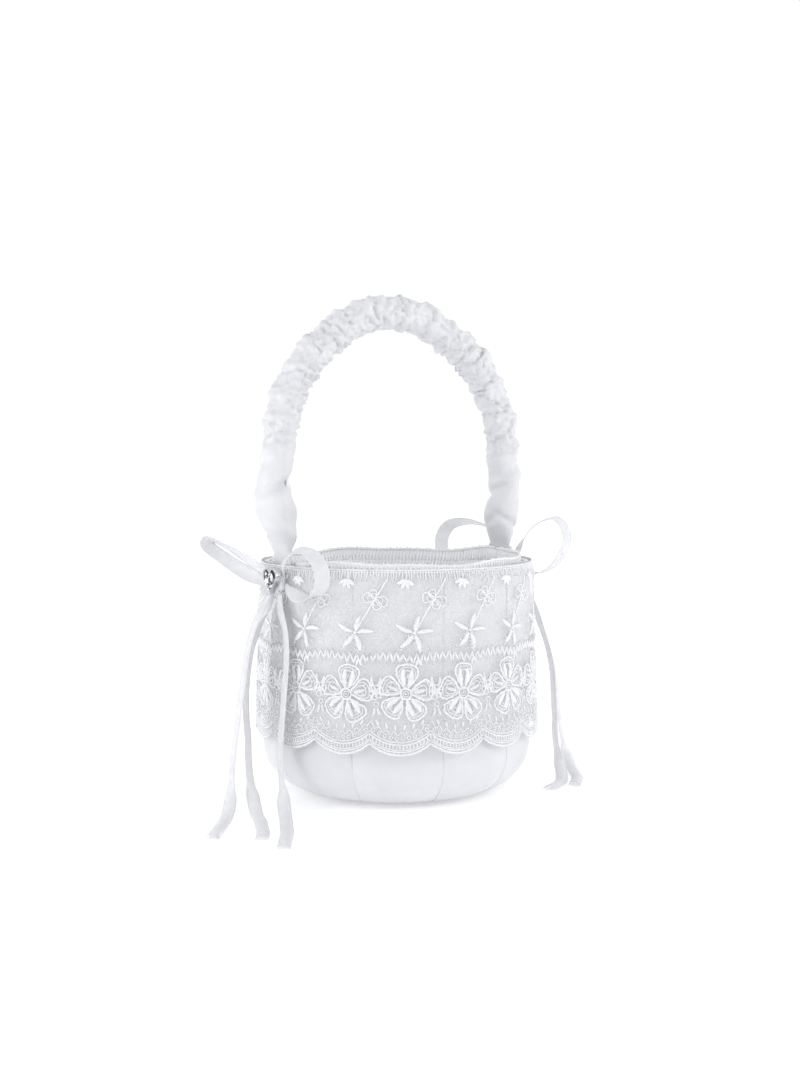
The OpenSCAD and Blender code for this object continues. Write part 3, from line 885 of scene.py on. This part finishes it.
LEG_X = (STRIP_OUT + STRIP_IN) / 2      # radius of the strip's middle
ARCH_Z = STRIP_CREST - (STRIP_OUT - LEG_X) - LEG_X
LEG_L = ARCH_Z - SLEEVE_FOOT
ARCH_L = math.pi * LEG_X
SLEEVE_L = 2 * LEG_L + ARCH_L
SLEEVE_HALF_T = SLEEVE_CREST - ARCH_Z - LEG_X
SLEEVE_HALF_W = 8.5                     # of its section: SLEEVE_HALF_T out, SLEEVE_HALF_W across
FOOT_HALF_T, FOOT_HALF_W = 1.3, 9.5     # where the sleeve is pinched and tucked into the rim
PINCH_L, SWELL_L = 1.6, 15
SMOOTH_L = 46                           # length of each leg over which the satin isn't gathered
TUBE_R = 7.3                            # radius of the tube of satin before it is gathered
GATHER = 1.95                           # satin along the handle for each length of it, at the start
                                        # and less than the simulation starts from
SIM_SCALE = 0.02                        # metres in the simulation for each millimetre
SIM_RINGS, SIM_SIDES, SIM_FRAMES = 270, 30, 32
SIM_TRIM = 14                           # rings at each end that the pins disturb, cut off
SLEEVE_SIDES = 90
CORE_R, CORE_PAST = 5.9, 100            # of the simulation's core: radius, and length past each end


def gather_share(s):
    return smooth_step((np.minimum(s, SLEEVE_L - s) - SMOOTH_L + 8) / 16)


def sim_tube(x, radius):
    """Rings of a tube along X, in the simulation's metres"""
    a = full_turn(radius.shape[1])[None]
    return points_of(x[:, None], radius * np.cos(a), radius * np.sin(a)).reshape(-1, 3) * SIM_SCALE


def sim_core():
    """Round core inside the tube, which stands for the strip and its wadding"""
    rings, sides = 160, 24
    x = np.linspace(-CORE_PAST, SLEEVE_L + CORE_PAST, rings)
    verts = sim_tube(x, np.full((rings, sides), CORE_R))
    core = add_mesh("sim_core", verts, grid_faces(rings, sides, wrap_cols=True))
    core.modifiers.new("collision", "COLLISION")
    core.collision.thickness_outer = 0.005
    core.collision.cloth_friction = 1.5
    return core


def sim_cloth(tube):
    """Cloth settings of the satin tube"""
    cloth = tube.modifiers.new("cloth", "CLOTH")
    satin_cloth, touch = cloth.settings, cloth.collision_settings
    satin_cloth.quality = 5
    satin_cloth.mass = 0.15
    satin_cloth.tension_stiffness = satin_cloth.compression_stiffness = 15
    satin_cloth.shear_stiffness = 6
    satin_cloth.bending_stiffness = 0.45
    satin_cloth.tension_damping = satin_cloth.compression_damping = satin_cloth.shear_damping = 8
    satin_cloth.bending_damping = 0.5
    satin_cloth.air_damping = 2
    satin_cloth.effector_weights.gravity = 0
    satin_cloth.vertex_group_mass = "pin"
    touch.distance_min = 0.005
    touch.use_self_collision = True
    touch.self_distance_min = 0.007
    touch.self_friction = 5
    touch.collision_quality = 3
    return cloth


def gathered_tube():
    """Pushes a long tube of satin together along its core, by cloth simulation.
    Returns its points, in millimetres, ring by ring."""
    s = np.linspace(0, SLEEVE_L, SIM_RINGS)
    full = 1.06 + (GATHER - 1.06) * gather_share(s)
    long = np.concatenate([[0], np.cumsum(np.diff(s) * (full[1:] + full[:-1]) / 2)])
    a = full_turn(SIM_SIDES)[None]
    kick = (0.45 * ripple(s[:, None], 2.4 * np.sin(a), 14, 12, 4.5, 5)
            + 0.25 * ripple(s[:, None], 7 * np.cos(a), 10, 14, 6, 9))
    start = sim_tube(long - (long[-1] - SLEEVE_L) / 2, TUBE_R * 1.04 + kick)
    tube = add_mesh("sim_tube", start, grid_faces(SIM_RINGS, SIM_SIDES, wrap_cols=True))
    tube.shape_key_add(name="long")
    short = tube.shape_key_add(name="short")
    short.data.foreach_set("co", sim_tube(s, TUBE_R * 1.02 + kick).ravel())
    for value, when in ((0.0, 1), (1.0, round(SIM_FRAMES * 0.62))):
        short.value = value
        short.keyframe_insert("value", frame=when)
    pin = tube.vertex_groups.new(name="pin")
    pin.add(list(range(SIM_RINGS * SIM_SIDES)), 0.08, "REPLACE")
    for ring in (0, SIM_RINGS - 1):
        pin.add([ring * SIM_SIDES + k for k in range(SIM_SIDES)], 1.0, "REPLACE")
    core = sim_core()
    cloth = sim_cloth(tube)
    cloth.point_cache.frame_start, cloth.point_cache.frame_end = 1, SIM_FRAMES
    scene = bpy.context.scene
    for step in range(1, SIM_FRAMES + 1):
        scene.frame_set(step)
    points = mesh_points(tube.evaluated_get(bpy.context.evaluated_depsgraph_get()).to_mesh())
    for made in (tube, core):
        bpy.data.objects.remove(made)
    scene.frame_set(1)
    return points.reshape(SIM_RINGS, SIM_SIDES, 3) / SIM_SCALE


def refine_tube(rings):
    """Halves the spacing of a tube's rings and gives each ring SLEEVE_SIDES points"""
    fine = smooth_path(rings.reshape(len(rings), -1), 2).reshape(-1, rings.shape[1], 3)
    waves = np.fft.rfft(fine, axis=1)
    return np.fft.irfft(waves, SLEEVE_SIDES, axis=1) * SLEEVE_SIDES / rings.shape[1]


def relax(rings, share, passes):
    """Smooths a tube where share is near 1"""
    for _ in range(passes):
        near = (np.roll(rings, 1, 1) + np.roll(rings, -1, 1))[1:-1] + rings[:-2] + rings[2:]
        rings[1:-1] += share[1:-1, None, None] * (near / 4 - rings[1:-1])
    return rings


def creases(s, a, seed):
    """Depth of the sharp creases between the gathers: short lines square to the sleeve"""
    draw = np.random.default_rng(seed)
    depth = np.zeros(np.broadcast(s, a).shape)
    place = SMOOTH_L - 6
    while place < SLEEVE_L - SMOOTH_L + 6:
        centre, span = draw.uniform(0, 2 * np.pi), draw.uniform(0.7, 1.9)
        slant, wide, deep = draw.uniform(-3.0, 3.0), draw.uniform(0.5, 0.95), draw.uniform(0.45, 1.15)
        turn = np.angle(np.exp(1j * (a - centre)))
        along = s - place - slant * turn / 2 - 0.5 * np.sin(3 * turn + place)
        depth += deep * np.exp(-(along / wide) ** 2) * smooth_step((span - np.abs(turn)) / 0.5)
        place += draw.uniform(0.9, 2.6)
    return np.minimum(depth, 1.7)


def leg_folds(s, a):
    """Broad twisted folds of the smooth satin on the two legs: rise or fall of the surface"""
    folds = np.zeros(np.broadcast(s, a).shape)
    for place, centre, slant, wide, deep in LEG_FOLDS:
        turn = np.angle(np.exp(1j * (a - np.radians(centre))))
        along = s - place - slant * turn
        folds += deep * np.exp(-(along / wide) ** 2) * smooth_step((2.4 - np.abs(turn)) / 1.4)
    return folds


# Folds of the legs: place along the sleeve, turn round it, slant, width, and rise or fall
LEG_FOLDS = (
    (9.5, 120, -4.5, 2.4, -2.6), (17, 150, -4.5, 4.0, 1.5), (25, 240, -3.0, 5.0, 1.6),
    (38, 240, 2.5, 2.2, -2.3), (44, 70, 2.5, 2.6, -0.9), (30, 90, -5.0, 3.0, 0.9),
    (SLEEVE_L - 41, 120, 3.0, 3.0, 1.2), (SLEEVE_L - 46, 120, 3.0, 2.0, -1.1),
    (SLEEVE_L - 30, 300, 3.0, 2.4, -1.7), (SLEEVE_L - 21, 300, 1.0, 6.0, 1.2),
    (SLEEVE_L - 14, 140, -4.0, 2.0, -1.5), (SLEEVE_L - 24, 190, 5.0, 2.4, -0.9),
)


def hump(value, middle, width):
    """Bell curve, 1 at its middle"""
    return np.exp(-((value - middle) / width) ** 2)


def sleeve_surface(rings):
    """Bends a straight gathered tube over the handle, and pinches its feet into the rim"""
    inner = rings[SIM_TRIM:-SIM_TRIM]
    first, last = inner[0, :, 0].mean(), inner[-1, :, 0].mean()
    inner[..., 0] = np.clip((inner[..., 0] - first) / (last - first), 0, 1) * SLEEVE_L
    fine = refine_tube(inner)
    fine = relax(fine, 1 - gather_share(fine[..., 0].mean(1)), 30)
    s, y, z = np.moveaxis(fine, -1, 0)
    a = np.arctan2(z, y)
    ends = smooth_step((np.minimum(s, SLEEVE_L - s) - PINCH_L) / SWELL_L)
    rise = leg_folds(s, a) * ends - creases(s, a, 77) * gather_share(s)
    full = (1 + rise / np.hypot(y, z)) / TUBE_R
    half_w = FOOT_HALF_W + (SLEEVE_HALF_W - FOOT_HALF_W) * ends
    half_t = FOOT_HALF_T + (SLEEVE_HALF_T - FOOT_HALF_T) * ends
    bulge = 4.2 * hump(s, 34, 20) + 2.2 * hump(s, SLEEVE_L - 34, 20)
    turn = np.clip((s - LEG_L) / ARCH_L, 0, 1) * math.pi
    shoulders = 2.0 * hump(turn, 0.8, 0.4) + 3.2 * hump(turn, 2.25, 0.5)
    radius = LEG_X + z * full * half_t + bulge * ends - shoulders
    drop = np.maximum(np.maximum(LEG_L - s, s - LEG_L - ARCH_L), 0)
    height = ARCH_Z + np.sin(turn) * radius - drop
    points = points_of(-np.cos(turn) * radius, y * full * half_w, height)
    return points, points_of(a * TUBE_R, s * GATHER)


def make_sleeve():
    """Ruched satin sleeve over the handle"""
    points, uvs = sleeve_surface(gathered_tube())
    faces = grid_faces(*points.shape[:2], wrap_cols=True)
    made = piece("handle_sleeve_ruched", points, faces, SLEEVE_SATIN, uvs)
    thicken(made, CLOTH_T)
    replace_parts(made, "handle_sleeve")


# ---- Threadwork ----

WOBBLE = 0.06       # how far a thread strays from its line
LOOP_PINCH = 0.55   # width of a small loop of thread, as a share of its length


def around(centre, turn, along, across=0.0):
    """Flat point at a distance from a centre along a direction, and at one across it"""
    c, s = math.cos(math.radians(turn)), math.sin(math.radians(turn))
    return points_of(centre[0] + along * c - across * s, centre[1] + along * s + across * c)


class Threadwork:
    """Gathers raised threads and satin stitch, drawn flat in millimetres, for one piece.
    x runs round the basket and y up it; wrap turns x, y and lift into points in space."""

    def __init__(self, wrap):
        self.wrap = wrap
        self.points, self.uvs, self.faces, self.count = [], [], [], 0

    def strand(self, path, half_w, half_h, sides=6, closed=False, ridges=0.0, lift=0.0,
               wobble=WOBBLE):
        """One thread, or one leaf of satin stitch where half_w varies"""
        path = np.asarray(path, float)
        path = path + rng.normal(0, wobble, path.shape)
        rings = len(path)
        if closed:
            heading = unit(np.roll(path, -1, 0) - np.roll(path, 1, 0))
        else:
            heading = unit(np.gradient(path, axis=0))
        stitch = 1 + ridges * (-1.0) ** np.arange(rings)
        w = (np.broadcast_to(half_w, rings) * stitch)[:, None]
        h = (np.broadcast_to(half_h, rings) * stitch)[:, None]
        a = full_turn(sides)[None]
        across = np.cos(a) * w
        rise = np.maximum(np.sin(a), -0.35) * h + lift + 0.2 * h
        x = path[:, 0:1] - heading[:, 1:2] * across
        y = path[:, 1:2] + heading[:, 0:1] * across
        self.points.append(points_of(x, y, rise).reshape(-1, 3))
        self.uvs.append(points_of(along_path(path)[:, None], across).reshape(-1, 2))
        if closed:
            faces = grid_faces(rings, sides, wrap_rows=True, wrap_cols=True).tolist()
        else:
            faces = tube_faces(rings, sides)
        self.faces += [[self.count + k for k in face] for face in faces]
        self.count += rings * sides

    def leaf(self, start, end, half_w, half_h, bend=0.0, steps=21, sides=8):
        """Pointed leaf of satin stitch"""
        t = np.linspace(0, 1, steps)
        start, end = np.array(start, float), np.array(end, float)
        side = np.array([start[1] - end[1], end[0] - start[0]])
        path = start + (end - start) * t[:, None] + side * (bend * np.sin(np.pi * t))[:, None]
        full = np.sin(np.pi * np.clip(t * 0.94 + 0.03, 0, 1)) ** 0.75
        self.strand(path, half_w * full + 0.06, half_h * full + 0.05, sides, ridges=0.13)

    def dash(self, points, half_w, half_h, ends=(0.12, 0.12)):
        """Short stitch of three points. half_w is its half width in the middle, ends at its ends."""
        self.strand(points, [ends[0], half_w, ends[1]], half_h, 5)

    def loop(self, centre, size, turn, thread, points=16):
        """Small loop of thread that leaves its centre and comes back, like a clover's leaf"""
        a = full_turn(points)
        far = 0.5 - 0.5 * np.cos(a)
        wide = LOOP_PINCH * np.sin(a) * (0.35 + 0.65 * far)
        path = around(centre, turn, size * far, size * wide)
        self.strand(path, thread, thread, 5, closed=True)

    def ring(self, centre, radius, thread, points=14):
        a = full_turn(points)
        path = around(centre, 0, radius * np.cos(a), radius * np.sin(a))
        self.strand(path, thread, thread, 5, closed=True)

    def knot(self, centre, size):
        """French knot"""
        full = [0.1, size * 0.8, size, size * 0.8, 0.1]
        self.strand(around(centre, 0, size * np.array([-1, -0.6, 0, 0.6, 1])), full, full)

    def make(self, name, material):
        flat = np.vstack(self.points)
        return piece(name, self.wrap(*flat.T), self.faces, material, np.vstack(self.uvs))


# ---- Lace skirt ----

REPEATS = 16
LACE_TURN = 230                 # where two scallops meet
SCALLOP_RISE = 5                # of the notches above the hem's lowest point
PITCH = 2 * math.pi * HEM_R / REPEATS
DEGREES_PER_MM = 360 / (REPEATS * PITCH)
LACE_T = 0.14
SKIRT_STEP = 1.65               # how far the skirt steps out just below the rim


def skirt_radius(z):
    """The skirt leaves the rim quickly and then hangs nearly straight to its hem"""
    near_rim = SKIRT_STEP * (1 - np.exp(-(LACE_TOP - z) / 3.0))
    down = (LACE_TOP - z) / (LACE_TOP - HEM_Z)
    return COVER_R + near_rim + (HEM_R - COVER_R - SKIRT_STEP - 0.2) * down ** 1.5


def skirt(x, y, lift):
    """Point of the skirt, x along its hem and y up it, with its soft hanging folds"""
    turn = LACE_TURN + x * DEGREES_PER_MM
    a = np.radians(turn)
    low = smooth_step((RIM_Z - 6 - y) / 70)
    folds = 0.5 * np.sin(6 * a + 0.7) + 0.4 * np.sin(11 * a + 2.2 + y * 0.01)
    folds = folds + 0.25 * np.sin(17 * a + 4.0)
    puff = 0.18 * np.sin(9 * a + y * 0.09) * np.sin(y * 0.07 + 3 * a)
    return turned(turn, skirt_radius(y) + low * folds * 0.8 + puff * (1 - low * 0.5) + lift, y)


def hem_at(x):
    """Height of the hem: arcs that sag between the notches"""
    half = PITCH / 2
    arc_r = (half ** 2 + SCALLOP_RISE ** 2) / (2 * SCALLOP_RISE)
    across = (x % PITCH) - half
    return HEM_Z + 0.4 + arc_r - np.sqrt(arc_r ** 2 - across ** 2)


def make_tulle():
    """The net itself, from the scalloped hem to the rim"""
    cols, rows = REPEATS * 20, 44
    x = np.arange(cols) * PITCH * REPEATS / cols
    share = np.linspace(0, 1, rows)[:, None]
    y = hem_at(x)[None] * (1 - share) + (LACE_TOP - 0.9) * share
    faces = grid_faces(rows, cols, wrap_cols=True)
    made = piece("lace_tulle", skirt(x[None], y, 0.0), faces, NET, points_of(x[None], y))
    return thicken(made, LACE_T)


def lobe(centre, turn, reach, half_w, inner, points):
    """Closed outline of one petal of a big flower, from its centre"""
    a = full_turn(points)
    far = 0.5 - 0.5 * np.cos(a)
    along = inner + (reach - inner) * far ** 0.8
    return around(centre, turn, along, half_w * np.sin(a) * (0.45 + 0.55 * far))


FLOWER_SHIFT = 2.5442   # of the big flowers from the middle of their scallops
SPRIG_SHIFT = 6.4       # and of the star flowers
FLOWER_Z = 53.5
STAR_Z = 79.7
ZIGZAG_Z = 69.5
PETAL_REACH = (12.6, 11.8, 12.1, 12.8, 12.0)
FILLED_PETALS = (0, 2, 3)
TRIM_LEAVES = (         # start x and y, end x and y, half width, half height, bend
    (-0.6, 3.4, -1.7, 7.6, 0.7, 0.45, 0.12), (0.6, 3.4, 2.1, 7.2, 0.7, 0.45, -0.12),
    (-0.4, -5.6, -1.5, -9.4, 0.65, 0.42, 0.1), (1.0, -5.6, 2.4, -9.0, 0.65, 0.42, -0.1),
)
STAR_LEAVES = (         # direction, reach, half width
    (152, 8.8, 1.05), (226, 8.6, 1.2), (284, 8.2, 1.2), (2, 8.6, 1.05), (72, 7.6, 1.15))
HEM_CORDS = (           # height above the hem, half thickness
    (0.2, 0.46), (1.4, 0.32), (2.2, 0.26), (4.4, 0.36), (5.6, 0.28))


def petal(work, centre, turn, reach, filled):
    """Three outlines with short stitches between them, and leaves of satin stitch inside"""
    outline = lobe(centre, turn, reach, rng.uniform(5.4, 6.4), 2.2, 26)
    work.strand(outline, 0.46, 0.38, closed=True, ridges=0.2, wobble=0.15)
    second = lobe(centre, turn, reach - 1.3, 4.7, 2.8, 20)
    work.strand(second, 0.24, 0.24, 5, closed=True, wobble=0.13)
    third = lobe(centre, turn, reach - 2.7, 3.1, 3.6, 16)
    work.strand(third, 0.24, 0.26, 5, closed=True)
    for _ in range(9):
        along, across, lean = rng.uniform(4.5, 10.5), rng.uniform(-3.2, 3.2), rng.uniform(-0.7, 0.7)
        middle = around(centre, turn, along, across)
        stitch = around(middle, turn + math.degrees(lean), np.array([-0.9, 0, 0.9]))
        work.dash(stitch, 0.26, [0.12, 0.36, 0.12])
    if filled:
        for shift in (-1.35, 1.35):
            start = around(centre, turn, 3.6, 0.6 * shift)
            end = around(centre, turn, reach - 2.2, 1.35 * shift)
            work.leaf(start, end, 1.25, 0.52, 0.05 * shift)
    else:
        work.leaf(around(centre, turn, 3.4), around(centre, turn, reach - 3.2), 0.85, 0.55)
        for side in (-1, 1):
            work.knot(around(centre, turn, 7.4, 2.1 * side), 0.42)
    for side in (-1, 0, 1):
        work.knot(around(centre, turn + 7.5 * side, reach - 0.5), 0.36)


def flower(work, centre, turn):
    """Big flower: five outlined petals, most of them filled, round a raised ring"""
    for k, reach in enumerate(PETAL_REACH):
        a = turn + 72 * k + rng.uniform(-3, 3)
        petal(work, centre, a, reach + rng.uniform(-0.5, 0.5), k in FILLED_PETALS)
    work.ring(centre, 2.3, 0.55)
    work.ring(centre, 1.25, 0.34, 10)
    work.knot(centre, 0.6)


def flower_trim(work, gap, y):
    """Small rose, rings, leaves and dots between two big flowers and below them"""
    for k in range(6):
        work.loop((gap, y + 1.0), 3.4 - 0.4 * (k % 2), 60 * k + 15, 0.28, 10)
    work.ring((gap, y + 1.0), 0.9, 0.36, 9)
    work.ring((gap + 0.4, y - 4.2), 1.0, 0.3, 12)
    for x0, y0, x1, y1, half_w, half_h, bend in TRIM_LEAVES:
        work.leaf((gap + x0, y + y0), (gap + x1, y + y1), half_w, half_h, bend)
    for k in range(3):
        work.knot((gap - 2.2 + 2.3 * k, y - 1.4 + 0.7 * (k % 2)), 0.36)


def make_flowers():
    """Row of big flowers over the scallops"""
    work = Threadwork(skirt)
    for i in range(REPEATS):
        x = PITCH * (i + 0.5) + FLOWER_SHIFT
        flower(work, (x, FLOWER_Z + 0.3 * (-1) ** i), 90 + (i % 3 - 1) * 5)
        flower_trim(work, x + PITCH / 2, FLOWER_Z)
    return work.make("lace_flowers", LACE_THREAD)


def hem_line(i, above, count, inset=0.0):
    """Line that follows one scallop at a height above its edge"""
    start, end = PITCH * i, PITCH * (i + 1)
    x = np.linspace(start + inset, end - inset, count)
    return points_of(x, hem_at(np.clip(x, start + 1e-3, end - 1e-3)) + above)


def make_border():
    """Scalloped edge: parallel cords with a ladder between them and picots along the hem"""
    work = Threadwork(skirt)
    for i in range(REPEATS):
        for above, thread in HEM_CORDS:
            work.strand(hem_line(i, above, 26), thread, thread, ridges=0.1)
        for x, y in hem_line(i, 3.3, 19):
            work.dash([(x, y - 0.9), (x, y), (x, y + 0.9)], 0.36, 0.34, (0.28, 0.28))
        for centre in hem_line(i, 7.3, 10, 1.6):
            work.ring(centre, 0.72, 0.24, 9)
        for centre in hem_line(i, -0.35, 21):
            work.knot(centre, 0.34)
        meander = hem_line(i, 9.4, 49)
        meander[:, 1] += 0.8 * np.sin(np.arange(49) * math.pi / 3)
        work.strand(meander, 0.26, 0.34, 5, ridges=0.1)
        for k, (x, y) in enumerate(hem_line(i, 10.6, 6, 4.0)):
            work.leaf((x, y), (x + (k - 2.5) * 0.5, y + 2.6), 0.5, 0.4, steps=9, sides=6)
    return work.make("lace_border", LACE_THREAD)


def star(work, centre, i):
    """Star flower: five leaves round a knot, two of them with ragged cross stitches"""
    for turn, reach, half_w in STAR_LEAVES:
        a = turn + 3 * math.sin(i * 1.7 + turn)
        work.leaf(around(centre, a, 0.9), around(centre, a, reach), half_w, 0.6, 0.06)
    work.knot(centre, 0.8)
    for turn, reach in ((226, 9.5), (284, 9.0)):
        for far in np.linspace(1.5, reach, 9):
            wide = rng.uniform(0.9, 2.0)
            side, back = rng.choice((-1, 1)), rng.uniform(0.2, 1.4)
            middle = around(centre, turn, far)
            tip = around(centre, turn, far - back, wide * side)
            work.dash([middle, (middle + tip) / 2, tip], 0.32, [0.4, 0.42, 0.12], (0.26, 0.12))


def make_sprigs():
    """Star flowers, each with a stem that climbs past a clover to a bud at the rim"""
    work = Threadwork(skirt)
    top = RIM_Z - 3
    for i in range(REPEATS):
        x, y = PITCH * (i + 0.5) + SPRIG_SHIFT, STAR_Z + 0.5 * math.sin(i * 2.3)
        star(work, (x, y), i)
        clover, bud = (x + 9, y + 14.5), (x + 22.5, top - 0.5)
        stem = smooth_path([(x, y), (x + 4.5, y + 7.5), clover, (x + 14.5, top)], 7)
        work.strand(stem, 0.42, 0.45, ridges=0.14)
        for turn, size in ((172, 5.4), (112, 4.2), (-18, 5.6), (-72, 4.6)):
            work.loop(clover, size, turn, 0.34)
            work.loop(clover, size * 0.62, turn, 0.22, 12)
        work.knot(clover, 0.6)
        for turn in (205, 245, 285, 325):
            work.leaf(bud, around(bud, turn, 4.3), 0.95, 0.55, steps=9)
        work.strand([bud, (bud[0] + 0.4, bud[1] + 1.6), (bud[0] + 0.2, top + 2.6)], 0.4, 0.4)
        for turn in (60, 105):
            a = math.radians(turn)
            end = (x + 1.5 + 3.6 * math.cos(a), ZIGZAG_Z - 1 - 3.24 * math.sin(a))
            work.leaf((x + 1.5, ZIGZAG_Z - 0.8), end, 0.6, 0.4, steps=9, sides=6)
    return work.make("lace_sprigs", LACE_THREAD)


def make_zigzag():
    """Zigzag line round the skirt between its flowers and its sprigs"""
    work = Threadwork(skirt)
    teeth = REPEATS * 9
    steps = np.arange(teeth * 6)
    x = steps * REPEATS * PITCH / (teeth * 6)
    swing = np.abs((steps / 6) % 1 - 0.5) * 4 - 1
    reach = np.repeat(rng.uniform(1.2, 2.3, teeth), 6)
    y = ZIGZAG_Z + reach * swing + 0.6 * np.sin(x * 2 * math.pi / PITCH)
    work.strand(points_of(x, y), 0.44, 0.4, closed=True, ridges=0.16)
    work.strand(points_of(x, y - 0.9 + 0.3 * np.sin(x * 1.3)), 0.2, 0.2, 5, closed=True)
    return work.make("lace_zigzag", LACE_THREAD)


def make_rim_edge():
    """Blanket stitches over the lace's top edge, with a row of picots"""
    work = Threadwork(skirt)
    count = REPEATS * 20
    step = REPEATS * PITCH / count
    for k in range(count):
        x = k * step
        drop = 3.8 + 1.2 * math.sin(k * 2.4) + rng.uniform(-0.9, 0.9)
        foot = (x + rng.uniform(-0.9, 0.9), RIM_Z - drop)
        work.dash([(x, RIM_Z + 0.4), (x, RIM_Z - 0.8), foot], 0.34, 0.32, (0.3, 0.2))
        if k % 2 == 0:
            work.ring((x + step / 2, RIM_Z + 0.75), 0.62, 0.26, 8)
    x = np.arange(count * 2) * step / 2
    for y, thread in ((RIM_Z + 0.3, 0.34), (RIM_Z - 0.55, 0.22)):
        edge = points_of(x, y + 0.14 * np.sin(x * 3.1))
        work.strand(edge, thread, thread, closed=True, ridges=0.12)
    return work.make("lace_rim_edge", LACE_THREAD)


def make_lace():
    """Net and embroidery that hang from the rim, in place of the CAD skirt"""
    net = make_tulle()
    parts = [make_flowers(), make_border(), make_sprigs(), make_zigzag(), make_rim_edge()]
    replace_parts(net, "lace_skirt")


# ---- Braid inside the rim ----

BRAID_RISE = 1.5        # how far the braid's top edge is worn up over the rim
BRAID_HUMP = 2.2        # how much more it stands up at the handle's back foot
BRAID_LEAN = 1.2        # how far its top edge leans out to the lining, away from the handle
BRAID_FACE_R = BRAID_R - 0.55
BRAID_RIBS = 208
BRAID_TAPE_T = 0.3


def braid_wall(x, y, lift):
    """The braid's face, towards the basket's middle; x runs round it"""
    a = x / BRAID_FACE_R
    wave = BRAID_RISE + 0.6 * np.sin(5 * a + 1) + 0.4 * np.sin(9 * a)
    wave = wave + BRAID_HUMP * np.exp(6 * (np.cos(a + 0.2) - 1))
    height = y + wave * smooth_step((y - BRAID_LOW) / 8)
    beside_handle = smooth_step((np.abs(np.sin(a)) - 0.17) / 0.2)
    lean = BRAID_LEAN * smooth_step((height - RIM_Z + 5) / 5) * beside_handle
    return turned(np.degrees(a), BRAID_FACE_R - 0.25 - lift + lean, height)


def make_braid():
    """Woven braid: upright ribs over a row of chevrons, between twisted edges"""
    work = Threadwork(braid_wall)
    step = 2 * math.pi * BRAID_FACE_R / BRAID_RIBS
    middle = BRAID_LOW + 4.6
    for k in range(BRAID_RIBS):
        x = k * step
        for side in (-1, 1):
            chevron = [(x, middle - 0.4), (x + side * step * 0.35, middle - 1.7),
                       (x + side * step * 0.62, BRAID_LOW + 1.3)]
            work.strand(chevron, [0.36, 0.46, 0.36], [0.24, 0.32, 0.24], lift=0.1 * side)
        rib = [(x, middle + 0.2), (x + 0.1, middle + 1.7), (x, BRAID_TOP - 1.3)]
        work.strand(rib, [0.44, 0.54, 0.44], [0.28, 0.36, 0.28])
        outer = [(x, BRAID_TOP - 4.2), (x + 0.3, BRAID_TOP - 2.6), (x, BRAID_TOP - 0.9)]
        work.strand(outer, [0.4, 0.5, 0.4], [0.26, 0.34, 0.26], lift=-0.45)
        work.knot((x + step / 2, BRAID_TOP - 0.25 + 0.3 * math.sin(k * 2.1)), 0.42)
        cross = np.linspace((x - 0.4, middle + 0.1), (x + 0.45, middle - 0.35), 3)
        work.strand(cross, 0.3, 0.5, 5, lift=0.2)
    steps = np.arange(BRAID_RIBS * 4)
    top, low = BRAID_TOP - 0.85, BRAID_LOW + 0.9
    for y, thread, phase in ((top, 0.5, 0), (top, 0.5, math.pi), (low, 0.42, 0)):
        edge = points_of(steps * step / 4, y + 0.3 * np.sin(steps * math.pi / 2 + phase))
        work.strand(edge, thread, thread, closed=True)
    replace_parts(work.make("rim_braid_threads", BRAID_THREAD_PAINTED_LIGHT), "rim_braid")


def make_braid_tape():
    """Plain tape that the braid's threads are worked on"""
    rows, cols = 8, 180
    x = full_turn(cols)[None] * BRAID_FACE_R
    y = np.linspace(BRAID_LOW + 0.3, BRAID_TOP - 0.8, rows)[:, None]
    faces = grid_faces(rows, cols, wrap_cols=True)
    made = piece("rim_braid_tape", braid_wall(x, y, -0.05), faces, BRAID_THREAD_PAINTED_LIGHT,
                 points_of(x, y))
    thicken(made, BRAID_TAPE_T)


# ---- Building ----

make_camera()
make_tails()
make_studio()
make_floor()
make_satin_cover()
make_lining()
make_lace()
make_braid()
make_braid_tape()
make_sleeve()
make_loops()
make_hearts()
dress_frame()
